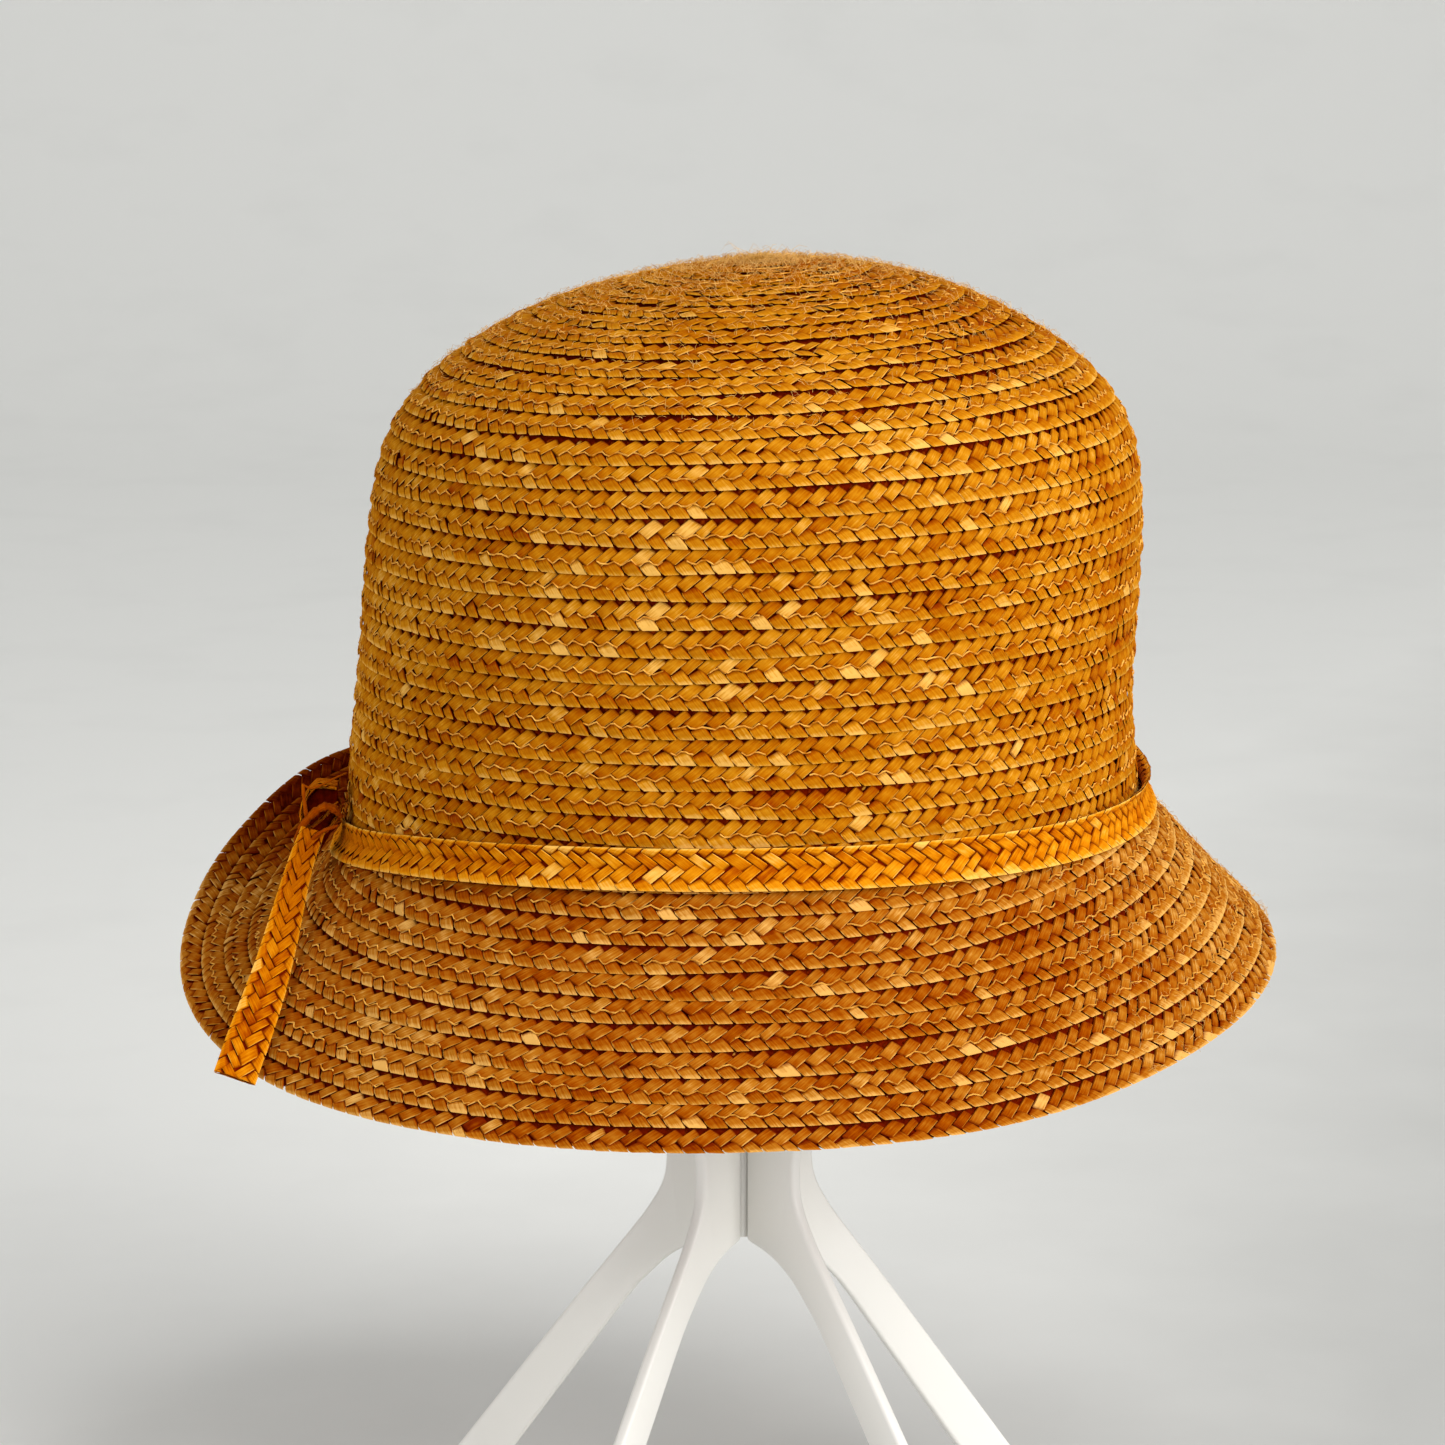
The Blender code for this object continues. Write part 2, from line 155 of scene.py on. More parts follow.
LOWER_EDGE_LEAF = ((4.55, 9.55), (6.0, 11.55), (10.1, 11.4), (7.2, 7.85))

# A leaf is modelled one wide and one long. Its border lies past LEAF_SIDE across and LEAF_END along.
LEAF_SIDE = 0.42
LEAF_END = 0.45
EDGE_DROP = 0.38
LEAF_CROWN = 0.13

# How a leaf lies: how far it strays along, across and up, how it tilts, and the lift of its side
# towards the next leaf
NUDGE = 0.6
SLIP = 0.15
LIFT = 0.1
TILT = 0.1
STRAP_TILT = 0.04
MIDDLE_CANT = -0.14
EDGE_CANT = 0.14
TIP_SUNK = 0.68
LEAF_BED = 0.3
LEAF_MIDDLE = 5.0
WORN_RELIEF = 0.35
CRISP_ANGLE = 20

# Tones of the leaves, from 0 dark to 1 pale, and the share of pale leaves at some azimuths: a few
# are paler straw all round, and the many more at the front, facing the camera, are painted highlights
TONE_SPREAD = 0.07
# TIP_SHADE darkens the sunk tips in the notches at the top of each row, a painted shade.
TIP_SHADE = -0.36
PALE_TONES = (0.66, 0.86)
PALE_AND_HIGHLIGHT_SHARE = ((-180, -60, -25, 15, 50, 180), (0.015, 0.03, 0.075, 0.07, 0.025, 0.015))

# How far the rows stand off the hat at their upper and lower edges, and lie in it on the inside
ROW_LOW = 0.4
ROW_HIGH = 1.15
CROWN_ROWS_HIGH = (0.62, 0.9, 1.25, 1.25, 1.0)
RIM_HIGH = 0.7
INSIDE_DEPTH = 1.35
INSIDE_STEP = 0.5

# Sewing thread, and the shares of it that dip into the straw and are hidden by it
THREAD_DOWN = 8.7
THREAD_WAVE = 0.5
THREAD_LOW = 4.9
THREAD_HALF = 0.2
THREAD_RISE = 0.24
THREAD_DIPS = 0.15
THREAD_HIDDEN = 0.3

FIBRE_RADIUS = 0.065

# Stand
STAND_X = 3.5
WING_AZIMUTHS = (-110, -32, 42, 122)
WING_THICKNESS = 3.2
WING_ROUNDING = 1.0
WING_INNER = 3.0
DOME_TOP = 330.6
DOME_RADIUS = 74.0
DOME_STEPS = 24
DOME_LAST_ANGLE = 98.0
# Outer side of a wing below its dome, its foot, and the arch back to the post: radius, height
WING_SIDE = (
    (74.0, 238.0), (70.0, 205.0), (58.0, 172.0), (40.0, 146.0), (26.0, 126.0), (21.2, 112.0),
    (20.4, 103.0), (21.6, 96.5), (25.5, 89.5), (31.0, 82.0), (43.0, 66.5), (59.0, 45.3), (90.5, 3.5),
)
WING_FOOT = ((92.0, 0.0), (76.5, 0.0))
WING_ARCH = (
    (75.0, 4.0), (46.0, 44.4), (31.5, 64.5), (25.0, 72.0), (18.5, 78.0), (11.0, 82.0),
    (WING_INNER, 84.0),
)

# Studio: the paper and the camera, in metres and degrees, with the lens in millimetres
PAPER_SIZE = 8.0
PAPER_MIDDLE_Y = -1.1
LENS = 139.5
CAMERA_DISTANCE = 1.4
CAMERA_ELEVATION = 12
CAMERA_TARGET = (-0.0016, 0.0, 0.218)


def smooth_value(table, at, column):
    """A column of a table, read at a value of its first column, along a Catmull-Rom curve."""
    place = 0
    while place < len(table) - 2 and table[place + 1][0] < at:
        place += 1
    before = table[max(place - 1, 0)]
    low = table[place]
    high = table[place + 1]
    after = table[min(place + 2, len(table) - 1)]
    span = high[0] - low[0]
    f = (at - low[0]) / span
    low_slope = (high[column] - before[column]) / (high[0] - before[0]) * span
    high_slope = (after[column] - low[column]) / (after[0] - low[0]) * span
    return (
        (2 * f**3 - 3 * f**2 + 1) * low[column]
        + (f**3 - 2 * f**2 + f) * low_slope
        + (3 * f**2 - 2 * f**3) * high[column]
        + (f**3 - f**2) * high_slope
    )


def smooth_rows(rows, steps):
    """The rows with others between them along the smooth curve, so many steps to the next row."""
    knots = [(i, *row) for i, row in enumerate(rows)]
    ats = [i / steps for i in range((len(rows) - 1) * steps + 1)]
    return np.array([[smooth_value(knots, at, c) for c in range(1, len(knots[0]))] for at in ats])


def unit(vectors):
    return vectors / np.linalg.norm(vectors, axis=-1, keepdims=True)


def gaps(line):
    """The distances between neighbouring points of a line."""
    return np.linalg.norm(np.diff(line, axis=-2), axis=-1)


def joined_axes(x, y, z):
    return np.stack(np.broadcast_arrays(x, y, z), axis=-1)


# Crown wall


def crown_path():
    """The crown's sections close together, each after its distance down the wall from the tip."""
    rows = smooth_rows(CROWN_SECTIONS, 24)
    lengths = np.hypot(np.diff(rows[:, 0]), np.diff(rows[:, 1]))
    return np.column_stack([np.concatenate([[0.0], np.cumsum(lengths)]), rows])


CROWN_PATH = crown_path()
CROWN_LENGTH = CROWN_PATH[-1, 0]
AROUND = np.linspace(-180, 180, 721)
CIRCLE = (
    tuple((row[0] - 360, *row[1:]) for row in BRIM_SECTIONS[-2:])
    + BRIM_SECTIONS
    + tuple((row[0] + 360, *row[1:]) for row in BRIM_SECTIONS[:2])
)
BRIM_AROUND = [[smooth_value(CIRCLE, a, c) for a in AROUND] for c in range(1, 5)]


def around(values, azimuth):
    return np.interp(azimuth, AROUND, values, period=360)


def plan_point(plan, azimuth, height, out=0.0):
    centre, half_width, half_depth = plan
    angle = np.radians(azimuth)
    x = centre + (half_width + out) * np.sin(angle)
    y = -(half_depth + out) * np.cos(angle)
    return joined_axes(x, y, height)


def level_wall(down, azimuth, out):
    """The crown above its lowest level row, at a distance down the wall from the tip."""

    def section(at, column):
        return np.interp(at, CROWN_PATH[:, 0], CROWN_PATH[:, column])

    above = np.maximum(down - 2.0, 0.0)
    below = np.minimum(down + 2.0, CROWN_LENGTH)
    run = section(below, 2) - section(above, 2)
    drop = section(above, 1) - section(below, 1)
    slant = np.hypot(run, drop)
    wider = out * drop / slant
    angle = np.radians(azimuth)
    centre = section(down, 4)
    half_width = np.maximum(section(down, 2) + wider, 0.0)
    half_depth = np.maximum(section(down, 3) + wider, 0.0)
    x = centre + half_width * np.sin(angle)
    y = -half_depth * np.cos(angle)
    z = section(down, 1) + out * run / slant + section(down, 5) * (x - centre)
    return joined_axes(x, y, z)


def head_line(azimuth, out=0.0):
    return plan_point(HEAD_PLAN, azimuth, around(BRIM_AROUND[0], azimuth), out)


WALL_REACH = np.linalg.norm(head_line(AROUND) - level_wall(CROWN_LENGTH, AROUND, 0.0), axis=-1)


def crown_wall(down, azimuth, out):
    """The whole crown wall: under the level row it runs straight to the head line."""
    share = np.clip((down - CROWN_LENGTH) / around(WALL_REACH, azimuth), 0.0, 1.0)[..., None]
    level = level_wall(np.clip(down, 0.0, CROWN_LENGTH), azimuth, out)
    return level * (1 - share) + head_line(azimuth, out) * share


# Brim


def brim_point(azimuth, share, out=0.0):
    """The brim's outer face, from share 0 at the head line to 1 at the rim."""
    head_z, rim_z, head_slope, rim_slope = (around(row, azimuth) for row in BRIM_AROUND)
    head = plan_point(HEAD_PLAN, azimuth, head_z)
    rim = plan_point(RIM_PLAN, azimuth, rim_z)
    outward = rim[..., :2] - head[..., :2]
    run = np.linalg.norm(outward, axis=-1)
    drop = head_z - rim_z
    handle = BRIM_HANDLE * np.hypot(run, drop)
    start = np.radians(head_slope)
    end = np.radians(rim_slope)
    outs = (0.0, handle * np.cos(start), run - handle * np.cos(end), run)
    ups = (0.0, -handle * np.sin(start), -drop + handle * np.sin(end), -drop)
    f = share
    weights = ((1 - f) ** 3, 3 * f * (1 - f) ** 2, 3 * f * f * (1 - f), f**3)
    slopes = (3 * (1 - f) ** 2, 6 * f * (1 - f), 3 * f * f)
    go_out = sum(s * (outs[i + 1] - outs[i]) for i, s in enumerate(slopes))
    go_up = sum(s * (ups[i + 1] - ups[i]) for i, s in enumerate(slopes))
    size = np.hypot(go_out, go_up)
    along_out = sum(w * p for w, p in zip(weights, outs)) - out * go_up / size
    up = sum(w * p for w, p in zip(weights, ups)) + out * go_out / size
    x = head[..., 0] + outward[..., 0] / run * along_out
    y = head[..., 1] + outward[..., 1] / run * along_out
    return joined_axes(x, y, head_z + up)


def brim_lengths():
    """The brim's length at each azimuth, and its share at even distances in from the rim."""
    shares = np.linspace(1.0, 0.0, 65)
    points = brim_point(AROUND[:, None], shares[None, :])
    start = np.zeros((len(AROUND), 1))
    distances = np.concatenate([start, np.cumsum(gaps(points), axis=1)], axis=1)
    even = np.linspace(0.0, 1.0, BRIM_STEPS + 1)
    table = [np.interp(even * row[-1], row, shares) for row in distances]
    return distances[:, -1], np.array(table)


BRIM_LENGTH, BRIM_SHARES = brim_lengths()


def brim_wall(from_rim, azimuth, out):
    """The brim's outer face at a distance in from the rim."""
    far = np.clip(from_rim / around(BRIM_LENGTH, azimuth), 0.0, 1.0) * BRIM_STEPS
    turn = np.mod(azimuth + 180, 360) * (len(AROUND) - 1) / 360
    far, turn = np.broadcast_arrays(far, turn)
    column = np.minimum(far.astype(int), BRIM_STEPS - 1)
    line = np.minimum(turn.astype(int), len(AROUND) - 2)
    g = far - column
    h = turn - line

    def share(line):
        return BRIM_SHARES[line, column] * (1 - g) + BRIM_SHARES[line, column + 1] * g

    return brim_point(azimuth, share(line) * (1 - h) + share(line + 1) * h, out)


# Band, and the straps of the tail and the knot


def band_wall(down, azimuth, out):
    """The band's inner face, from its upper edge to its lower one."""
    half = PLAIT_WIDTH / 2
    seam = head_line(azimuth)
    wall = unit(level_wall(CROWN_LENGTH, azimuth, 0.0) - seam)
    rim_step = half / np.linalg.norm(brim_point(azimuth, 1.0) - seam, axis=-1)
    low = brim_point(azimuth, rim_step)
    low_normal = brim_point(azimuth, rim_step, 1.0) - low
    middle_normal = brim_point(azimuth, 0.0, 1.0) - seam
    top_normal = unit(middle_normal * np.array((1.0, 1.0, 0.0)))
    t = (np.clip(down, 0.0, PLAIT_WIDTH) / PLAIT_WIDTH)[..., None]
    weights = (2 * (t - 0.5) * (t - 1), 4 * t * (1 - t), 2 * t * (t - 0.5))
    base = weights[0] * (seam + wall * half) + weights[1] * seam + weights[2] * low
    normal = unit(weights[0] * top_normal + weights[1] * middle_normal + weights[2] * low_normal)
    turned = np.mod(azimuth - BAND_LOOSE_AZIMUTH + 180, 360) - 180
    loose = BAND_LOOSE * np.exp(-((turned / BAND_LOOSE_SPREAD) ** 2)) * (1 - t[..., 0])
    return base + normal * (BAND_CLEARANCE + loose + out)[..., None]


class Strap:
    """A flat strap through sections, each a place, the direction across and a share of the width."""

    def __init__(self, sections, width):
        rows = smooth_rows(sections, 12)
        self.middle = rows[:, :3]
        self.share = rows[:, 6]
        self.at = np.concatenate([[0.0], np.cumsum(gaps(self.middle))])
        self.length = self.at[-1]
        along = unit(np.gradient(self.middle, axis=0))
        across = rows[:, 3:6]
        self.across = unit(across - along * (across * along).sum(-1, keepdims=True))
        self.normal = np.cross(along, self.across)
        self.scale = width / PLAIT_WIDTH

    def wall(self, along, down, out):
        """A place on the strap, out from its middle layer."""
        along = np.clip(along, 0.0, self.length)

        def read(rows):
            return np.stack([np.interp(along, self.at, rows[:, i]) for i in range(3)], axis=-1)

        share = np.interp(along, self.at, self.share)
        aside = (share * (PLAIT_WIDTH - down) - PLAIT_WIDTH / 2) * self.scale
        base = read(self.middle) + unit(read(self.across)) * aside[..., None]
        return base + unit(read(self.normal)) * np.broadcast_to(out, aside.shape)[..., None]


# Rows: where a leaf of row, azimuth, down and rise lies


def row_rise(down, high):
    return ROW_LOW + (high - ROW_LOW) * (down - SHOWN_FROM) / ROW_PITCH


def crown_down(row, azimuth, down):
    """Rows wind down round the crown, and most of the winding falls at the back."""
    turn = np.radians(azimuth)
    wind = (turn - np.sin(turn)) / (2 * math.pi)
    return CROWN_LENGTH + ROW_PITCH * (row - wind) - (PLAIT_WIDTH - down)


def wander(row, azimuth):
    """How far a row strays up or down the hat, sewn by eye. At the back, where rows meet, it is 0."""
    turn = np.radians(azimuth)
    stray = 0.3 * np.sin(3 * turn + 1.7 * row) + 0.2 * np.sin(9 * turn + 2.9 * row)
    return stray * np.cos(turn / 2) ** 2


def on_crown(row, azimuth, down, rise):
    at = crown_down(row, azimuth, down) + wander(row, azimuth)
    places = (0, 50, 110, CROWN_LENGTH - 14, CROWN_LENGTH - 6)
    high = ROW_HIGH * np.interp(at, places, CROWN_ROWS_HIGH)
    return crown_wall(at, azimuth, row_rise(down, high) + rise)


def inside_depth(down):
    return INSIDE_DEPTH + INSIDE_STEP * (down - SHOWN_FROM) / ROW_PITCH


def in_crown(row, azimuth, down, rise):
    at = crown_down(row, azimuth, PLAIT_WIDTH + SHOWN_FROM - down)
    return crown_wall(at, azimuth, -(inside_depth(down) + 0.5 * rise))


def on_brim(row, azimuth, down, rise):
    high = np.where(row > 0, ROW_HIGH, RIM_HIGH)
    stray = np.where(row > 0, wander(row, azimuth), 0.0)
    from_rim = row * ROW_PITCH + PLAIT_WIDTH - down + stray
    return brim_wall(from_rim, azimuth, row_rise(down, high) + rise)


def thinned(from_rim):
    """The brim is a single plait thick at the rim."""
    return np.clip(0.25 + from_rim / 9, 0.3, 1.0)


def under_brim(row, azimuth, down, rise):
    from_rim = np.maximum(row * ROW_PITCH + down - SHOWN_FROM, 0.5)
    depth = (inside_depth(down) + 0.6 * rise) * thinned(from_rim)
    return brim_wall(from_rim, azimuth, -depth)


def on_band(row, azimuth, down, rise):
    return band_wall(down, azimuth, BAND_THICKNESS - LEAF_BED + rise)


def in_band(row, azimuth, down, rise):
    return band_wall(down, azimuth, 0.35 - rise)


def strap_side(strap, half_thickness, side):
    """Leaves on the front (side 1) or the back (side -1) of a strap."""

    def place(row, azimuth, down, rise):
        along = (azimuth + 180) / 360 * strap.length
        shown = down if side > 0 else PLAIT_WIDTH - down
        return strap.wall(along, shown, side * (half_thickness - LEAF_BED + rise))

    return place


# The leaf, shaped in edit mode


def choose(obj, test):
    """Selects the points of the edited mesh that pass the test, and no others."""
    bpy.ops.mesh.select_all(action="DESELECT")
    work = bmesh.from_edit_mesh(obj.data)
    for point in work.verts:
        point.select = test(point.co)
    work.select_flush_mode()
    bmesh.update_edit_mesh(obj.data)


def straw_leaf(along, across, folded, rounded=0.0):
    """A straw between two crossings, one wide and one long: crowned, with its edges turned down.

    folded tells which of its border points lie on a folded edge, which stands up more and gets a painted
    highlight.
    rounded bows its far end out by that share of its length.

    Returns its points as shares (0 to 1) along and across with their rise in mm, its faces, and
    for each point its painted shade (below 0, darkest at the border) or painted highlight (above 0,
    in the middle and on folded edges).
    """
    bpy.ops.mesh.primitive_grid_add(x_subdivisions=along, y_subdivisions=across, size=1.0)
    leaf = bpy.context.object
    bpy.ops.object.mode_set(mode="EDIT")
    bpy.ops.mesh.select_mode(type="VERT")
    middle = (0.0, 0.0, 0.0)
    if across > 2:
        choose(leaf, lambda p: abs(p.y) < 0.4)
        bpy.ops.transform.resize(value=(1.0, 2.42, 1.0), center_override=middle)
    if along > 2:
        choose(leaf, lambda p: 0.2 < abs(p.x) < 0.4)
        bpy.ops.transform.resize(value=(1.62, 1.0, 1.0), center_override=middle)
    choose(leaf, lambda p: abs(p.x) > LEAF_END and abs(p.y) > LEAF_END)
    bpy.ops.transform.resize(value=(0.98, 0.9, 1.0), center_override=middle)
    if across > 2:
        choose(leaf, lambda p: p.x > LEAF_END and abs(p.y) > LEAF_SIDE)
        bpy.ops.transform.translate(value=(-rounded, 0.0, 0.0))
        choose(leaf, lambda p: p.x > LEAF_END and abs(p.y) < LEAF_SIDE)
        bpy.ops.transform.translate(value=(rounded, 0.0, 0.0))
    border = LEAF_END - rounded
    choose(leaf, lambda p: abs(p.x) > border or abs(p.y) > LEAF_SIDE)
    bpy.ops.transform.translate(value=(0.0, 0.0, -EDGE_DROP))
    choose(leaf, lambda p: folded(p.x, p.y))
    bpy.ops.transform.translate(value=(0.0, 0.0, EDGE_DROP * 0.6))
    choose(leaf, lambda p: abs(p.x) < 0.1 and abs(p.y) < LEAF_SIDE)
    bpy.ops.transform.translate(value=(0.0, 0.0, LEAF_CROWN))
    bpy.ops.object.mode_set(mode="OBJECT")
    mesh = leaf.data
    points = np.array([tuple(v.co) for v in mesh.vertices])
    faces = np.array([tuple(f.vertices) for f in mesh.polygons])
    edge = (np.abs(points[:, 0]) > border) | (np.abs(points[:, 1]) > LEAF_SIDE)
    # Painted shade on the border and a little towards the ends, painted highlight in the middle; folded
    # edges get a full painted highlight below.
    painted_light_and_shade = np.where(edge, -1.0, np.where(np.abs(points[:, 0]) > 0.3, -0.12, 0.3))
    pale = np.array([bool(folded(x, y)) for x, y in points[:, :2]])
    bpy.data.objects.remove(leaf, do_unlink=True)
    bpy.data.meshes.remove(mesh)
    return points + np.array((0.5, 0.5, 0.0)), faces, np.where(pale, 1.0, painted_light_and_shade)


class Rows:
    """The leaves of some rows: each one's row, its number along the row, and the row's count.

    early is how many leaves there are before the start of a row, to close the joint there.
    """

    def __init__(self, rows, counts, seed, early=1):
        self.chance = np.random.default_rng(seed)
        whole = [max(int(math.ceil(c)), 4) + early for c in counts]
        self.row = np.repeat(rows, whole)
        index = np.concatenate([np.arange(n) for n in whole])
        self.number = index - early
        self.count = np.repeat(np.asarray(counts, float), whole)
        first = np.repeat(np.cumsum([0] + whole[:-1]), whole)
        self.next = first + (index + 1) % np.repeat(whole, whole)

    def keep(self, wanted):
        middle = -180 + 360 * (self.number + 0.5 + LEAF_MIDDLE / LEAF_STEP) / self.count
        return wanted(self.row, middle)


def lay(rows, leaf, corners, place, wanted=None, end_drop=0.0, tilt=TILT, cant=0.0, sunk=0.0,
        shade=0.0, shade_by_azimuth=None, worn=None):
    """Copies of the leaf, one for each place of the rows, bent to the hat and each a bit different.

    cant lifts the side of the next leaf. shade shifts the tone, and so does a function of the azimuth,
    which on the brim paints light and shade. worn is how much of the relief, of the painted shade and
    highlights at the edges and of the difference in tone is left at a place.
    """
    points, faces, painted_light_and_shade = leaf
    chance = rows.chance
    count = len(rows.row)
    a, b, rise = points.T
    weights = np.stack([(1 - a) * (1 - b), a * (1 - b), a * b, (1 - a) * b], axis=-1)
    flat = weights @ np.array(corners)
    length = math.dist(corners[0], corners[1])
    width = math.dist(corners[0], corners[3])
    nudge = chance.uniform(-NUDGE, NUDGE, count)
    slip = chance.uniform(-SLIP, SLIP, count)
    lift = chance.uniform(-LIFT, LIFT, count)
    roll = chance.normal(0.0, tilt, (2, count))
    along = flat[:, 0] + nudge[:, None] * (1 - b) + nudge[rows.next][:, None] * b
    down = flat[:, 1] + slip[:, None] * (flat[:, 1] < PLAIT_WIDTH - 0.2)
    azimuth = -180 + 360 * (rows.number[:, None] + along / LEAF_STEP) / rows.count[:, None]
    middle = azimuth.mean(axis=1)
    around_hat = np.mod(middle + 180, 360) - 180
    left = np.ones(count) if worn is None else worn(rows.row, middle)
    relief = rise * (WORN_RELIEF + (1 - WORN_RELIEF) * left[:, None])
    height = relief + lift[:, None] - sunk - end_drop * (a > 0.85)
    height += roll[0][:, None] * (a - 0.5) * length * 0.5
    height += (roll[1][:, None] * width + cant) * (b - 0.5)
    xyz = place(rows.row[:, None], azimuth, down, height)
    tone = chance.normal(0.5 + shade, TONE_SPREAD, count)
    # Pale leaves: paler straw, and at the front painted highlights.
    pale = chance.random(count) < np.interp(around_hat, *PALE_AND_HIGHLIGHT_SHARE)
    tone = np.where(pale, chance.uniform(*PALE_TONES, count), tone)
    tone = 0.5 + (tone - 0.5) * left
    # On the brim this shift by azimuth is painted light and painted shade.
    if shade_by_azimuth is not None:
        tone = tone + shade_by_azimuth(around_hat)
    tone = np.clip(tone, 0.0, 1.0)
    streak = chance.random((2, count)) * 20
    u = a * length / 10 + streak[0][:, None]
    v = b * width / 10 + streak[1][:, None]
    chosen = np.ones(count, bool) if wanted is None else rows.keep(wanted)
    kept = int(chosen.sum())
    size = len(points)
    return {
        "points": xyz[chosen].reshape(-1, 3),
        "faces": (np.arange(kept)[:, None, None] * size + faces[None]).reshape(-1, 4),
        "tone": np.repeat(tone[chosen], size),
        "painted_light_and_shade": (painted_light_and_shade[None] * left[chosen][:, None]).ravel(),
        "uv": np.stack([u[chosen], v[chosen]], axis=-1).reshape(-1, 2),
    }


def turned(parts):
    for part in parts:
        part["faces"] = part["faces"][:, ::-1]
    return parts


def unshaded(points, faces, uv):
    """A part of one tone, with no painted light or shade."""
    tone = np.full(len(points), 0.5)
    painted_light_and_shade = np.zeros(len(points))
    return {"points": points, "faces": faces, "tone": tone, "painted_light_and_shade": painted_light_and_shade, "uv": uv}


def piece(name, parts, material, weld=False):
    """One mesh object of all the parts: crisp leaves, or a shell with the points that meet joined."""

    def joined(kind):
        return np.concatenate([part[kind] for part in parts])

    starts = np.cumsum([0] + [len(part["points"]) for part in parts])
    faces = np.concatenate([part["faces"] + start for part, start in zip(parts, starts)])
    points = joined("points") * MM
    mesh = bpy.data.meshes.new(name)
    mesh.vertices.add(len(points))
    mesh.vertices.foreach_set("co", points.ravel())
    mesh.loops.add(faces.size)
    mesh.loops.foreach_set("vertex_index", faces.ravel().astype(np.int32))
    mesh.polygons.add(len(faces))
    mesh.polygons.foreach_set("loop_start", np.arange(0, faces.size, 4, dtype=np.int32))
    mesh.polygons.foreach_set("use_smooth", np.ones(len(faces), bool))
    for kind in ("tone", "painted_light_and_shade"):
        values = joined(kind).astype(np.float32)
        mesh.attributes.new(kind, "FLOAT", "POINT").data.foreach_set("value", values)
    uv = joined("uv")[faces.ravel()].astype(np.float32)
    mesh.uv_layers.new(name="UVMap").data.foreach_set("uv", uv.ravel())
    mesh.update(calc_edges=True)
    if weld:
        work = bmesh.new()
        work.from_mesh(mesh)
        bmesh.ops.remove_doubles(work, verts=work.verts, dist=1e-6)
        bmesh.ops.recalc_face_normals(work, faces=work.faces)
        work.to_mesh(mesh)
        work.free()
    else:
        mesh.set_sharp_from_angle(angle=math.radians(CRISP_ANGLE))
    mesh.validate()
    mesh.materials.append(material)
    made = bpy.data.objects.new(name, mesh)
    bpy.context.scene.collection.objects.link(made)
    return made


def sewing(rows, place, wanted, seed):
    """The sewing thread: a fine ridge over each row that dips into the straw here and there."""
    chance = np.random.default_rng(seed)
    aside = np.array((-THREAD_HALF, 0.0, THREAD_HALF))
    hump = np.array((-0.14, 0.1, -0.14))
    parts = []
    for row in np.unique(rows.row):
        count = rows.count[rows.row == row][0]
        number = np.arange(int(4 * count) + 1)
        size = len(number)
        along = number / 4 + chance.uniform(-0.06, 0.06, size)
        azimuth = -180 + 360 * along / count
        wave = np.cos(2 * math.pi * (along - THREAD_LOW / LEAF_STEP))
        down = THREAD_DOWN + THREAD_WAVE * wave + chance.normal(0.0, 0.16, size)
        dips = chance.random(size) < THREAD_DIPS
        rise = np.where(dips, 0.0, THREAD_RISE) + chance.uniform(-0.05, 0.08, size)
        hidden = np.repeat(chance.random(size // 5 + 1) < THREAD_HIDDEN, 5)[:size]
        across = down[:, None] + aside
        xyz = place(np.full((size, 1), row), azimuth[:, None], across, rise[:, None] + hump)
        start = np.arange(size - 1)[:, None] * 3
        quads = np.concatenate([start + (i, i + 1, i + 4, i + 3) for i in (0, 1)])
        at = quads[:, 0] // 3
        seen = wanted(np.full(len(at), row), azimuth[at]) & ~hidden[at]
        used, faces = np.unique(quads[seen], return_inverse=True)
        uv = np.stack([np.repeat(along, 3)[used], np.zeros(len(used))], axis=-1)
        parts.append(unshaded(xyz.reshape(-1, 3)[used], faces.reshape(-1, 4), uv))
    return [part for part in parts if len(part["faces"])]


def shell(lines, hooped=False):
    """A closed skin over closed lines of points. It joins into a hoop, or ends in a pole at each end."""
    lines = [np.asarray(line) for line in lines]
    if not hooped:
        start, end = (np.broadcast_to(p.mean(axis=0), p.shape) for p in (lines[0], lines[-1]))
        lines = [start, *lines, end]
    size = len(lines[0])
    i = np.arange(size)
    j = (i + 1) % size
    faces = []
    for first in range(len(lines) - (not hooped)):
        second = (first + 1) % len(lines)
        quad = (first * size + i, first * size + j, second * size + j, second * size + i)
        faces.append(np.stack(quad, axis=-1))
    along = np.tile(np.arange(size) * 0.2, len(lines))
    across = np.repeat(np.arange(len(lines)) * 0.1, size)
    uv = np.stack([along, across], axis=-1)
    return unshaded(np.concatenate(lines), np.concatenate(faces), uv)


def roll(places, radius, sides=10, steps=8):
    """A rolled edge of straw along a line of places, a bit uneven and thinner at its ends."""
    centre = smooth_rows(places, steps)
    ats = np.arange(len(centre)) / steps
    along = unit(np.gradient(centre, axis=0))
    aside = unit(np.cross(along, (0.0, 1.0, 0.0)))
    towards = np.cross(aside, along)
    turn = np.linspace(0, 2 * math.pi, sides, endpoint=False)[:, None]
    size = radius * (1 - 0.45 * np.abs(np.linspace(-1, 1, len(ats))) ** 6)
    size = size * (1 + 0.14 * np.sin(ats * 5.1) + 0.1 * np.sin(ats * 11.3 + 1.0))
    wide = 0.85 * np.cos(turn) * (1 + 0.12 * np.sin(3 * turn))
    deep = 1.3 * np.sin(turn)
    part = shell([c + s * (wide * a + deep * t) for c, s, a, t in zip(centre, size, aside, towards)])
    part["uv"] = part["uv"][:, ::-1] * (0.5, 0.25)
    part["tone"] = part["tone"] + ROLL_SHADE
    return part


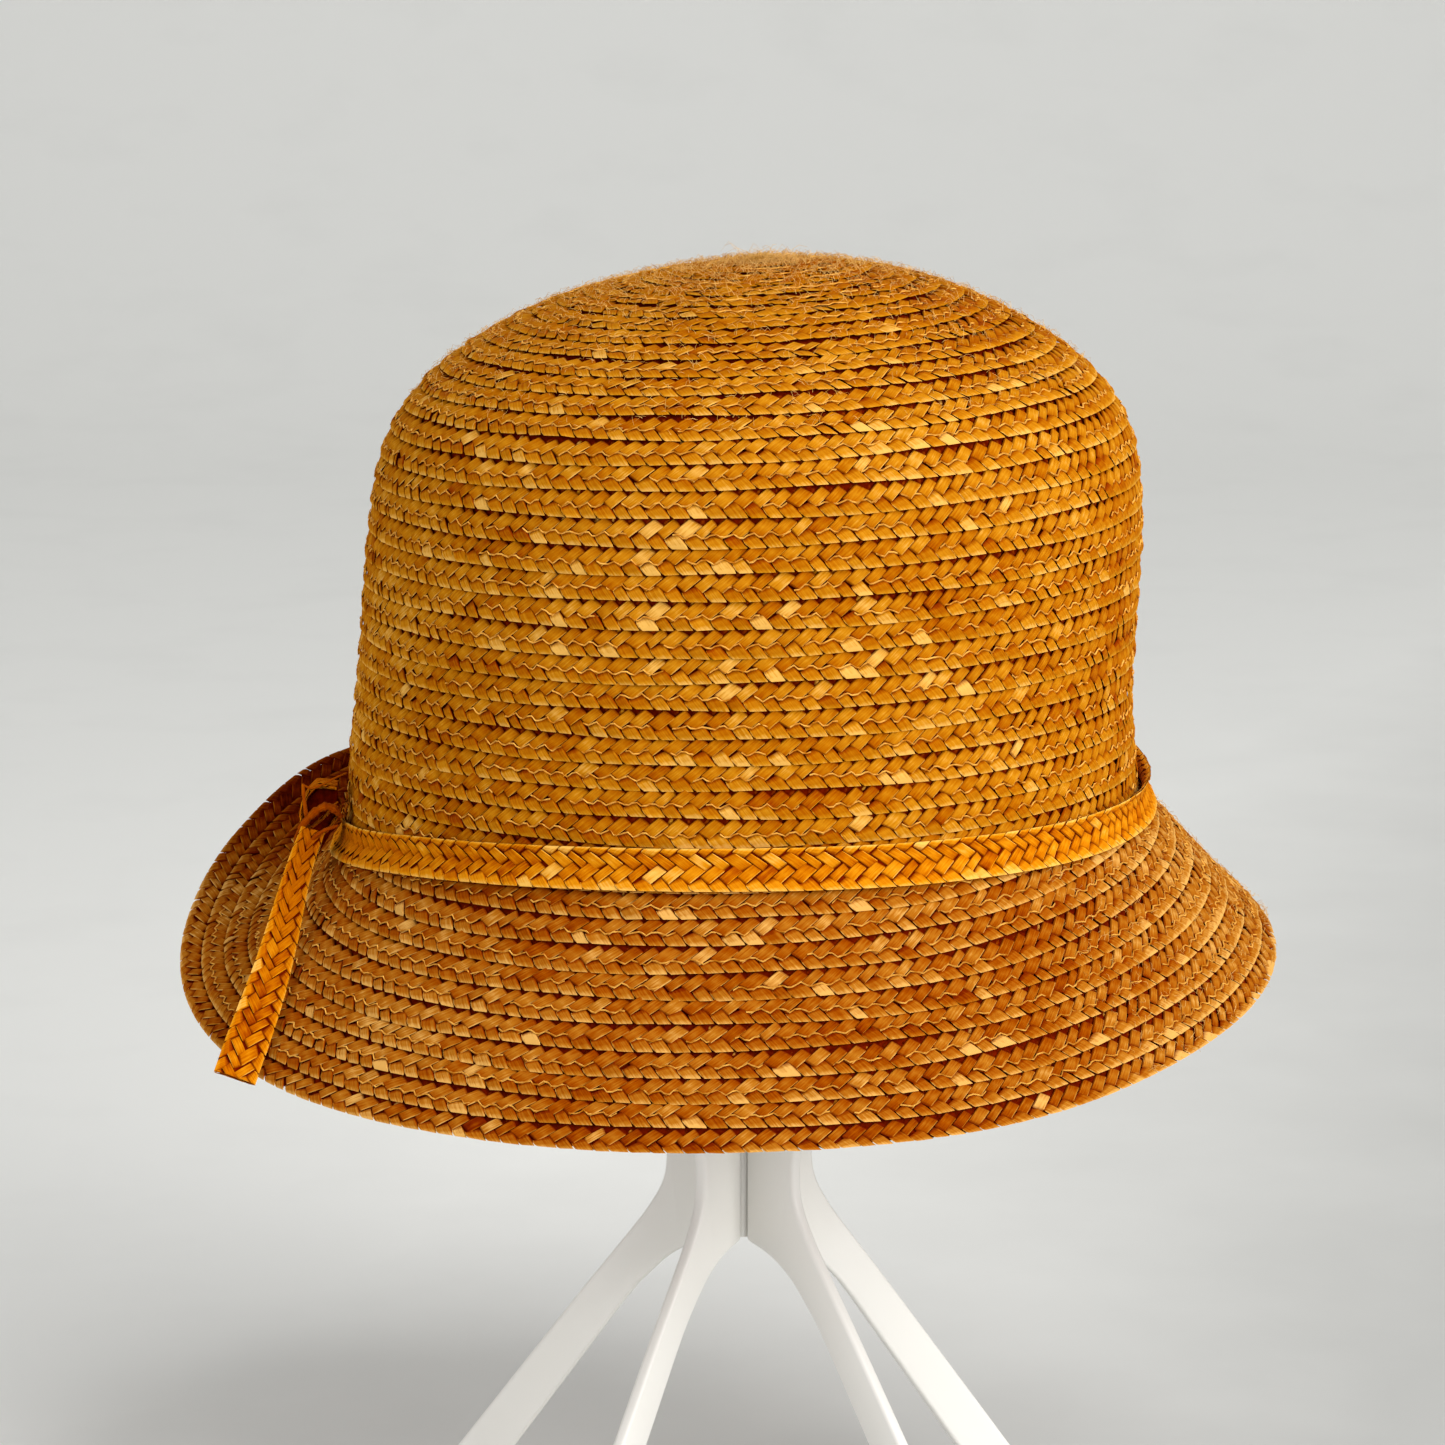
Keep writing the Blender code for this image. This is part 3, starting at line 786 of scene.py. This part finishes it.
def fibres(wall, turns, reach, count, shortest, longest, seed):
    """Loose fibres between two azimuths, closer together near the crown's tip or the brim's rim."""
    chance = np.random.default_rng(seed)
    azimuth = chance.uniform(*turns, count)
    down = reach * chance.random(count) ** 1.2 + 0.5
    base = wall(down, azimuth, np.full(count, 0.8))
    out = unit(wall(down, azimuth, np.full(count, 2.8)) - base)
    side = unit(np.cross(out, chance.normal(size=(count, 3))))
    length = chance.uniform(shortest, longest, count)
    points = []
    for t in (0.0, 0.35, 0.7, 1.0):
        stand = chance.uniform(0.5, 1.2, count) if t else np.zeros(count)
        line = base + side * (t * length)[:, None]
        line = line + out * (stand * length * math.sin(2.2 * t) * 0.55)[:, None]
        thick = FIBRE_RADIUS * (1 - 0.6 * t)
        cross = np.cross(out, side)
        for angle in (0.0, 2.1, 4.2):
            points.append(line + (cross * math.cos(angle) + out * math.sin(angle)) * thick)
    points = np.stack(points, axis=1)
    size = points.shape[1]
    faces = []
    for ring in (0, 3, 6):
        for i in range(3):
            j = (i + 1) % 3
            faces.append((ring + i, ring + j, ring + 3 + j, ring + 3 + i))
    faces = (np.arange(count)[:, None, None] * size + np.array(faces)).reshape(-1, 4)
    return unshaded(points.reshape(-1, 3), faces, np.zeros((count * size, 2)))


# Materials


def new_finish(name):
    finish = bpy.data.materials.new(name)
    finish.use_nodes = True
    return finish, finish.node_tree, finish.node_tree.nodes["Principled BSDF"]


def fill(tree, node, inputs):
    """Sets inputs of a node, each to a value or to another node's output."""
    for name, value in inputs.items():
        if isinstance(value, bpy.types.NodeSocket):
            tree.links.new(value, node.inputs[name])
        else:
            node.inputs[name].default_value = value
    return node


def ramp(tree, source, stops):
    node = tree.nodes.new("ShaderNodeValToRGB")
    band = node.color_ramp
    while len(band.elements) < len(stops):
        band.elements.new(0.5)
    for element, (at, colour) in zip(band.elements, stops):
        element.position = at
        element.color = (*colour, 1.0)
    return fill(tree, node, {"Fac": source}).outputs["Color"]


def mixed(tree, share, source, colour):
    """A colour laid over the source, as much as the share says."""
    node = tree.nodes.new("ShaderNodeMix")
    node.data_type = "RGBA"
    return fill(tree, node, {0: share, 6: source, 7: colour}).outputs[2]


def ranged(tree, source, *bounds):
    """The source, taken from the range of the first two bounds to that of the last two."""
    node = tree.nodes.new("ShaderNodeMapRange")
    return fill(tree, node, dict(enumerate((source, *bounds)))).outputs[0]


def added(tree, first, second):
    node = tree.nodes.new("ShaderNodeMath")
    node.operation = "ADD"
    return fill(tree, node, {0: first, 1: second}).outputs[0]


def noise(tree, vector, scale, detail=3.0, roughness=0.5):
    node = tree.nodes.new("ShaderNodeTexNoise")
    inputs = {"Vector": vector, "Scale": scale, "Detail": detail, "Roughness": roughness}
    return fill(tree, node, inputs).outputs[0]


def stretched(tree, vector, size):
    node = tree.nodes.new("ShaderNodeMapping")
    return fill(tree, node, {"Vector": vector, "Scale": size}).outputs[0]


def attribute(tree, name):
    node = tree.nodes.new("ShaderNodeAttribute")
    node.attribute_name = name
    return node.outputs["Fac"]


def coordinate(tree, name):
    return tree.nodes.new("ShaderNodeTexCoord").outputs[name]


def bumped(tree, height, strength, distance):
    inputs = {"Height": height, "Strength": strength, "Distance": distance}
    return fill(tree, tree.nodes.new("ShaderNodeBump"), inputs).outputs["Normal"]


def straw_finish(name, stops, roughness):
    """Dyed straw: each leaf has its own tone and fine grain along it, painted shade on its edges and
    painted highlights.
    """
    finish, tree, shader = new_finish(name)
    grain = noise(tree, stretched(tree, coordinate(tree, "UV"), (2.2, 26.0, 1.0)), 1.0, 4.0, 0.6)
    patch = noise(tree, coordinate(tree, "Object"), 22.0)
    painted_light_and_shade = attribute(tree, "painted_light_and_shade")
    tone = added(tree, attribute(tree, "tone"), ranged(tree, patch, 0.3, 0.7, -0.08, 0.1))
    tone = added(tree, tone, ranged(tree, grain, 0.3, 0.7, -0.14, 0.14))
    # Painted highlight: a mark above 0 lifts the tone.
    tone = added(tree, tone, ranged(tree, painted_light_and_shade, 0.0, 1.0, 0.0, 0.4))
    # Painted shade: a mark below 0 mixes in a dark red-brown.
    dark = ranged(tree, painted_light_and_shade, 0.0, -1.0, 0.0, 0.9)
    inputs = {
        "Base Color": mixed(tree, dark, ramp(tree, tone, stops), (0.14, 0.006, 0.0001, 1.0)),
        "Roughness": ranged(tree, grain, 0.25, 0.75, roughness - 0.08, roughness + 0.12),
        "Normal": bumped(tree, grain, 0.45, 0.00025),
        "Specular IOR Level": 0.0,
        "Sheen Weight": 0.055,
        "Sheen Roughness": 0.4,
        "Sheen Tint": (1.0, 0.62, 0.26, 1.0),
    }
    fill(tree, shader, inputs)
    return finish


def matt_finish(name, scale, detail, stops, roughness):
    """Straw with no shine, speckled between two colours."""
    finish, tree, shader = new_finish(name)
    colour = ramp(tree, noise(tree, coordinate(tree, "Object"), scale, detail), stops)
    fill(tree, shader, {"Base Color": colour, "Roughness": roughness, "Specular IOR Level": 0.0})
    return finish


def shadow_finish():
    """Painted shade: a dark matt colour for the linings, which shows in the gaps between the leaves."""
    stops = ((0.3, (0.08, 0.003, 0.0001)), (0.7, (0.18, 0.010, 0.0002)))
    return matt_finish("painted_shade_between_leaves", 900.0, 3.0, stops, 0.9)


def thread_finish(name, dark, light):
    """Thin thread or fibre, its tone changing as if it were twisted."""
    return matt_finish(name, 500.0, 2.0, ((0.35, dark), (0.65, light)), 0.7)


def plastic_finish():
    """Moulded white plastic, slightly uneven in tone, with fine scuffs."""
    finish, tree, shader = new_finish("white_moulded_plastic")
    place = coordinate(tree, "Object")
    stops = ((0.3, (0.90, 0.89, 0.85)), (0.7, (0.93, 0.92, 0.89)))
    scuff = noise(tree, stretched(tree, place, (1.0, 1.0, 0.15)), 420.0, 4.0)
    inputs = {
        "Base Color": ramp(tree, noise(tree, place, 18.0), stops),
        "Roughness": ranged(tree, scuff, 0.3, 0.7, 0.3, 0.46),
        "Normal": bumped(tree, scuff, 0.12, 0.0002),
    }
    fill(tree, shader, inputs)
    return finish


CROWN_STOPS = (
    (0.0, (0.15, 0.007, 0.0001)),
    (0.3, (0.28, 0.042, 0.0002)),
    (0.52, (0.405, 0.115, 0.0008)),
    (0.75, (0.55, 0.215, 0.006)),
    (1.0, (0.77, 0.42, 0.09)),
)
BRIM_STOPS = (
    (0.0, (0.06, 0.002, 0.0001)),
    (0.3, (0.18, 0.017, 0.0001)),
    (0.52, (0.30, 0.060, 0.0003)),
    (0.75, (0.43, 0.148, 0.009)),
    (1.0, (0.70, 0.37, 0.09)),
)
BAND_STOPS = (
    (0.0, (0.14, 0.007, 0.0001)),
    (0.3, (0.34, 0.055, 0.0002)),
    (0.52, (0.55, 0.150, 0.0005)),
    (0.75, (0.71, 0.265, 0.005)),
    (1.0, (0.86, 0.47, 0.09)),
)


# The hat


def stands_on_crown(row, azimuth):
    down = crown_down(row, azimuth, 8.0)
    return (down > 1.0) & (down < CROWN_LENGTH + around(WALL_REACH, azimuth) + 1.0)


def stands_on_brim(row, azimuth):
    return (row + 0.5) * ROW_PITCH < around(BRIM_LENGTH, azimuth) + 1.0


def brim_light_and_shade(azimuth):
    """The brim's straw is darker at the front. It is lighter on the right, where the window light falls,
    a painted light, and darkest where the brim turns up in the hollow by the crown, a painted shade.
    """
    turns = (-180, -124, -100, -60, 0, 40, 75, 140, 180)
    shifts = (-0.38, -0.38, 0.04, 0.04, -0.03, 0.03, 0.14, 0.1, -0.38)
    return np.interp(azimuth, turns, shifts)


def threaded_brim(row, azimuth):
    """No thread shows on the rim's row, nor on the dark turned-up straw."""
    return stands_on_brim(row, azimuth) & (row > 0) & (azimuth > -96)


def crown_wear(row, azimuth):
    """Fluff softens the straw near the top of the crown."""
    return np.interp(crown_down(row, azimuth, 8.0), (10, 95), (0.35, 1.0))


def band_wear(row, azimuth):
    """The band is rubbed smooth towards the knot."""
    return 0.25 + 0.75 * np.clip((azimuth + 82) / 40, 0.0, 1.0) ** 1.5


def tail_wear(row, azimuth):
    return 0.25 + 0.75 * np.clip((azimuth + 60) / 120, 0.0, 1.0)


def rubbed(row, azimuth):
    return np.full(azimuth.shape, 0.3)


def crown_rows(seed):
    first = -int(CROWN_LENGTH // ROW_PITCH)
    rows = np.arange(first, ROWS_UNDER_LEVEL + 1)
    down = np.clip(CROWN_LENGTH + rows * ROW_PITCH - ROW_PITCH / 2, 2.0, CROWN_LENGTH)
    radius = np.interp(down, CROWN_PATH[:, 0], (CROWN_PATH[:, 2] + CROWN_PATH[:, 3]) / 2)
    return Rows(rows, np.maximum(np.round(2 * math.pi * radius / LEAF_STEP), 5), seed)


def brim_rows(seed):
    rows = np.arange(BRIM_ROWS)
    lines = [brim_wall((row + 0.5) * ROW_PITCH, AROUND, 0.0) for row in rows]
    return Rows(rows, np.round([gaps(line).sum() / LEAF_STEP for line in lines]), seed)


def hat_pieces():
    fine = straw_leaf(4, 3, lambda x, y: y > LEAF_SIDE and abs(x) < LEAF_END)
    plain = straw_leaf(3, 3, lambda x, y: y < -LEAF_SIDE or x > 0.4, rounded=0.07)
    small = straw_leaf(2, 2, lambda x, y: False)
    crown_straw = straw_finish("plaited_straw_crown", CROWN_STOPS, 0.42)
    brim_straw = straw_finish("plaited_straw_brim", BRIM_STOPS, 0.44)
    band_straw = straw_finish("plaited_straw_band", BAND_STOPS, 0.38)
    shadow = shadow_finish()
    thread = thread_finish("sewing_thread", (0.48, 0.16, 0.008), (0.84, 0.44, 0.08))
    fibre = thread_finish("straw_fibre", (0.55, 0.28, 0.05), (0.82, 0.5, 0.16))
    made = []

    def add(slot, name, parts, finish, weld=False):
        obj = piece(name, parts, finish, weld)
        made.append((obj, slot))
        return obj

    def sewn(rows, place, wanted, shade_by_azimuth=None, worn=None, coarse=False, rim=False):
        """Rows as they show where each covers the top of the next: middle leaves, edges and tips.

        Nothing covers or follows the rim's own row, so its leaves have their whole shape.
        """
        middle, edge = (small, small) if coarse else (fine, plain)

        def inner(row, azimuth):
            return wanted(row, azimuth) & ((row > 0) | (not rim))

        def outer(row, azimuth):
            return wanted(row, azimuth) & (row == 0)

        look = {"place": place, "shade_by_azimuth": shade_by_azimuth, "worn": worn, "wanted": inner}
        tip = {"leaf": small, "corners": UPPER_MIDDLE_TIP, "sunk": TIP_SUNK, "shade": TIP_SHADE}
        parts = [
            lay(rows, middle, LOWER_MIDDLE_LEAF, cant=MIDDLE_CANT, shade=0.03, **look),
            lay(rows, edge, LOWER_EDGE_LEAF, end_drop=0.2, cant=EDGE_CANT, shade=-0.03, **look),
        ]
        if not coarse:
            parts.append(lay(rows, **tip, **look))
        if rim:
            look["wanted"] = outer
            parts.append(lay(rows, middle, FULL_MIDDLE_LEAF, cant=MIDDLE_CANT, **look))
            parts.append(lay(rows, edge, FULL_EDGE_LEAF, end_drop=0.1, **look))
            parts.append(lay(rows, **tip, **look))
        return parts

    def full(rows, place, worn=None, shade=0.0):
        """Rows of the whole plait. Its middle is rubbed first, and its two edges hardly."""
        look = {"place": place, "tilt": STRAP_TILT, "shade": shade}
        return [
            lay(rows, plain, UPPER_EDGE_LEAF, end_drop=0.2, **look),
            lay(rows, fine, UPPER_MIDDLE_LEAF, worn=worn, **look),
            lay(rows, fine, FULL_MIDDLE_LEAF, worn=worn, **look),
            lay(rows, plain, FULL_EDGE_LEAF, end_drop=0.2, **look),
        ]

    rows = crown_rows(11)
    leaves = turned(sewn(rows, on_crown, stands_on_crown, worn=crown_wear))
    crown = add("crown_straw", "crown_braid", leaves, crown_straw)
    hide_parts("crown")
    inside = sewn(crown_rows(12), in_crown, stands_on_crown, coarse=True)
    add("crown_straw", "crown_inside_braid", inside, crown_straw)
    stitches = turned(sewing(rows, on_crown, stands_on_crown, 13))
    add("crown_straw", "crown_thread", stitches, thread)

    rows = brim_rows(21)
    leaves = turned(sewn(rows, on_brim, stands_on_brim, brim_light_and_shade, rim=True))
    brim = add("brim_straw", "brim_braid", leaves, brim_straw)
    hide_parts("brim")
    under = sewn(brim_rows(22), under_brim, stands_on_brim, brim_light_and_shade, coarse=True)
    add("brim_straw", "brim_under_braid", under, brim_straw)
    stitches = turned(sewing(rows, on_brim, threaded_brim, 23))
    add("brim_straw", "brim_thread", stitches, thread)

    # Dark linings under the leaves of the crown, brim, band and straps: painted shade that shows in the
    # gaps between the leaves.
    turns = np.linspace(-180, 180, 97)[:-1]
    reach = around(WALL_REACH, turns)
    downs = [*np.linspace(2.0, CROWN_LENGTH, 34), CROWN_LENGTH + reach / 2, CROWN_LENGTH + reach]
    skin = [crown_wall(down, turns, -0.3) for down in downs]
    skin += [crown_wall(down, turns, -1.2) for down in downs[::-1]]
    add("crown_straw", "crown_lining_shadow", [shell(skin)], shadow, weld=True)

    rim = 1.2
    places = [rim + (around(BRIM_LENGTH, turns) - rim) * s for s in np.linspace(0.0, 1.0, 17)]
    skin = [brim_wall(at, turns, -0.25) for at in places[::-1]]
    skin += [brim_wall(at, turns, -0.2 - 0.9 * thinned(at)) for at in places]
    add("brim_straw", "brim_lining_shadow", [shell(skin, hooped=True)], shadow, weld=True)

    line = band_wall(PLAIT_WIDTH / 2, AROUND, BAND_THICKNESS)
    steps = round(gaps(line).sum() / LEAF_STEP)
    outside = turned(full(Rows([0], [steps], 31, early=0), on_band, band_wear))
    inside = full(Rows([0], [steps], 32, early=0), in_band, rubbed)
    band = add("band_straw", "band_braid", outside + inside, band_straw)
    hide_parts("band")
    downs = (0.4, 2.8, 5.5, 8.2, 10.2)
    section = [*((d, 0.82) for d in downs), (10.2, -1.4), (10.9, -1.4), (10.6, 0.9)]
    section += [(d, 0.9) for d in downs[-2::-1]]
    skin = [band_wall(down, turns, out) for down, out in section]
    add("band_straw", "band_lining_shadow", [shell(skin, hooped=True)], shadow, weld=True)

    tail = Strap(TAIL_SECTIONS, PLAIT_WIDTH)
    knot = Strap([(x, KNOT_MIDDLE_Y, z, 0.0, 1.0, 0.0, 1.0) for x, z in KNOT_PATH], KNOT_WIDTH)
    half = 0.08
    edges = ((0.3, half), (10.7, half), (11.0, 0.0), (10.7, -half), (0.3, -half), (0.0, 0.0))
    for name, strap, thickness, worn, shade, seed in (
        ("tail", tail, BAND_THICKNESS, tail_wear, -0.08, 41),
        ("knot", knot, KNOT_THICKNESS, rubbed, -0.2, 51),
    ):
        leaves = []
        for side in (1, -1):
            rows = Rows([0], [strap.length / LEAF_STEP], seed + side, early=2)
            leaves += full(rows, strap_side(strap, thickness / 2, side), worn, shade)
        made_strap = add("band_straw", name + "_braid", turned(leaves), band_straw)
        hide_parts(name)
        stations = np.linspace(0.2, strap.length - 0.2, 60)
        skin = [[strap.wall(station, d, out) for d, out in edges] for station in stations]
        add("band_straw", name + "_lining_shadow", [shell(skin)], shadow, weld=True)

    # The knot's heart: a dark lump of painted shade in the hollows behind its folds.
    heart = np.array(KNOT_HEART_SHADOW)
    centre = heart.mean(axis=0)
    rings = []
    for y, share in ((-17.6, 0.7), (-16.8, 1.0), (-12.4, 1.0), (-11.6, 0.7)):
        ring = centre + (heart - centre) * share
        rings.append(joined_axes(ring[:, 0], y, ring[:, 1]))
    add("band_straw", "knot_heart_shadow", [shell(rings)], shadow, weld=True)
    rolls = [roll(places, radius) for radius, places in KNOT_ROLLS]
    add("band_straw", "knot_rolled_edges", rolls, band_straw, weld=True)

    fuzz = [
        fibres(crown_wall, (-180, 180), 90.0, 6000, 1.0, 3.0, 61),
        fibres(crown_wall, (-180, 180), 5.0, 26, 3.5, 7.5, 62),
        fibres(brim_wall, (45, 135), 66.0, 1800, 0.9, 2.4, 63),
    ]
    add("crown_straw", "stray_fibres", fuzz, fibre)
    for obj, slot in made:
        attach(obj, "root")


# Stand, floor, light and camera


def wing_outline():
    """Radius and height round a wing: over the dome, down the side, the foot, back up the arch."""
    first = math.asin(WING_INNER / DOME_RADIUS)
    turn = np.linspace(first, math.radians(DOME_LAST_ANGLE), DOME_STEPS)
    height = DOME_TOP - DOME_RADIUS * (1 - np.cos(turn))
    dome = zip(DOME_RADIUS * np.sin(turn), height)
    return [*dome, *smooth_rows(WING_SIDE, 6), *WING_FOOT, *smooth_rows(WING_ARCH, 6)]


def stand_wing(number, azimuth, plastic):
    """A moulded plate cut to the wing's outline, its edges rounded."""
    outline = wing_outline()
    bpy.ops.object.select_all(action="DESELECT")
    bpy.ops.mesh.primitive_circle_add(vertices=len(outline), radius=0.05, fill_type="NGON")
    wing = bpy.context.object
    wing.name = f"wing_{number}"
    for point, (radius, height) in zip(wing.data.vertices, outline):
        point.co = (radius * MM, height * MM, -WING_THICKNESS / 2 * MM)
    bpy.ops.object.mode_set(mode="EDIT")
    bpy.ops.mesh.select_all(action="SELECT")
    thick = (0.0, 0.0, WING_THICKNESS * MM)
    bpy.ops.mesh.extrude_region_move(TRANSFORM_OT_translate={"value": thick})
    bpy.ops.mesh.select_all(action="SELECT")
    bpy.ops.mesh.normals_make_consistent(inside=False)
    bpy.ops.object.mode_set(mode="OBJECT")
    rounding = wing.modifiers.new("rounding", "BEVEL")
    rounding.width = WING_ROUNDING * MM
    rounding.segments = 3
    rounding.limit_method = "ANGLE"
    rounding.angle_limit = math.radians(60)
    bpy.ops.object.modifier_apply(modifier="rounding")
    wing.location = (STAND_X * MM, 0.0, 0.0)
    wing.rotation_euler = (math.radians(90), 0.0, math.radians(azimuth - 90))
    bpy.ops.object.transform_apply(location=True, rotation=True, scale=True)
    bpy.ops.object.shade_smooth_by_angle(angle=math.radians(45))
    wing.data.materials.append(plastic)
    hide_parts(f"stand_wing_{number}")
    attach(wing, "root")


def stand():
    plastic = plastic_finish()
    for number, azimuth in enumerate(WING_AZIMUTHS, 1):
        stand_wing(number, azimuth, plastic)
    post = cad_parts["stand_post"]
    post.data.materials.clear()
    post.data.materials.append(plastic)


def studio():
    """Pale paper that lies flat and bends up behind."""
    bpy.ops.object.select_all(action="DESELECT")
    bpy.ops.mesh.primitive_plane_add(size=PAPER_SIZE, location=(0.0, PAPER_MIDDLE_Y, 0.0))
    floor = bpy.context.object
    floor.name = "floor_and_wall"
    back = PAPER_SIZE / 2 - 0.1
    bpy.ops.object.mode_set(mode="EDIT")
    bpy.ops.mesh.select_mode(type="VERT")
    choose(floor, lambda p: p.y > back)
    bpy.ops.mesh.extrude_region_move(TRANSFORM_OT_translate={"value": (0.0, 0.0, 4.0)})
    choose(floor, lambda p: p.y > back and p.z < 0.1)
    bpy.ops.mesh.bevel(offset=1.2, segments=24, affect="EDGES")
    bpy.ops.object.mode_set(mode="OBJECT")
    bpy.ops.object.shade_smooth()
    bpy.ops.object.transform_apply(location=True, rotation=True, scale=True)
    finish, tree, shader = new_finish("pale_paper")
    # Painted shade on the paper: darker near the camera and on the right, where the lamps fall
    # strongest, so that it looks evenly lit; a faint cloud varies it at random.
    place = tree.nodes.new("ShaderNodeSeparateXYZ")
    fill(tree, place, {0: coordinate(tree, "Object")})
    aside = ranged(tree, place.outputs["X"], -1.0, 1.0, 2.2, -2.2)
    far = added(tree, place.outputs["Y"], aside)
    far = ranged(tree, far, -0.3, 0.5, 0.0, 1.0)
    cloud = noise(tree, coordinate(tree, "Object"), 14.0, 4.0)
    far = added(tree, far, ranged(tree, cloud, 0.3, 0.7, -0.05, 0.05))
    stops = ((0.0, (0.52, 0.525, 0.512)), (1.0, (0.92, 0.926, 0.905)))
    fill(tree, shader, {"Base Color": ramp(tree, far, stops), "Roughness": 0.9})
    floor.data.materials.append(finish)


def aimed(name, data, place, target):
    """A light or a camera at a place, turned to its target."""
    made = bpy.data.objects.new(name, data)
    bpy.context.scene.collection.objects.link(made)
    made.location = place
    made.rotation_euler = (Vector(target) - Vector(place)).to_track_quat("-Z", "Y").to_euler()
    return made


def area_light(name, place, target, size, power, colour=(1.0, 1.0, 1.0)):
    light = bpy.data.lights.new(name, "AREA")
    light.shape = "DISK"
    light.size = size
    light.energy = power
    light.color = colour
    return aimed(name, light, place, target)


def lights():
    hat = (0.0, 0.0, 0.24)
    area_light("window_right", (1.10, -1.22, 0.84), hat, 1.3, 28.5, (1.0, 0.98, 0.95))
    fill_light = area_light("fill_left", (-1.54, -0.56, 0.68), hat, 1.4, 10.0, (1.0, 0.99, 0.97))
    fill_light.visible_glossy = False
    area_light("wall_light", (0.0, 1.6, 2.2), (0.0, 2.9, 0.9), 2.0, 8.5)
    area_light("top_light", (0.65, -0.6, 1.6), hat, 1.2, 15.0)
    world = bpy.data.worlds.new("studio")
    world.use_nodes = True
    background = world.node_tree.nodes["Background"]
    background.inputs["Color"].default_value = (1.0, 1.0, 0.99, 1.0)
    background.inputs["Strength"].default_value = 0.25
    bpy.context.scene.world = world


def camera():
    lens = bpy.data.cameras.new("camera")
    lens.sensor_width = 36.0
    lens.lens = LENS
    elevation = math.radians(CAMERA_ELEVATION)
    towards = Vector((0.0, -math.cos(elevation), math.sin(elevation)))
    place = Vector(CAMERA_TARGET) + CAMERA_DISTANCE * towards
    bpy.context.scene.camera = aimed("camera", lens, place, CAMERA_TARGET)
    bpy.context.scene.view_settings.view_transform = "Standard"


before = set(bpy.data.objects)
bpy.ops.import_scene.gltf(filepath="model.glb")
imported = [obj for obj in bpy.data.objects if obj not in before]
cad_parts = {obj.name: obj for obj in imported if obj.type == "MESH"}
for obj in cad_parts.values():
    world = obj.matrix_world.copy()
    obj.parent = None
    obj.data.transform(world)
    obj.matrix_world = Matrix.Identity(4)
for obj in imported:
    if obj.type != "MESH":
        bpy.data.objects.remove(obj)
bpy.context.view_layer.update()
bpy.ops.object.select_all(action="DESELECT")
hat_pieces()
stand()
studio()
lights()
camera()
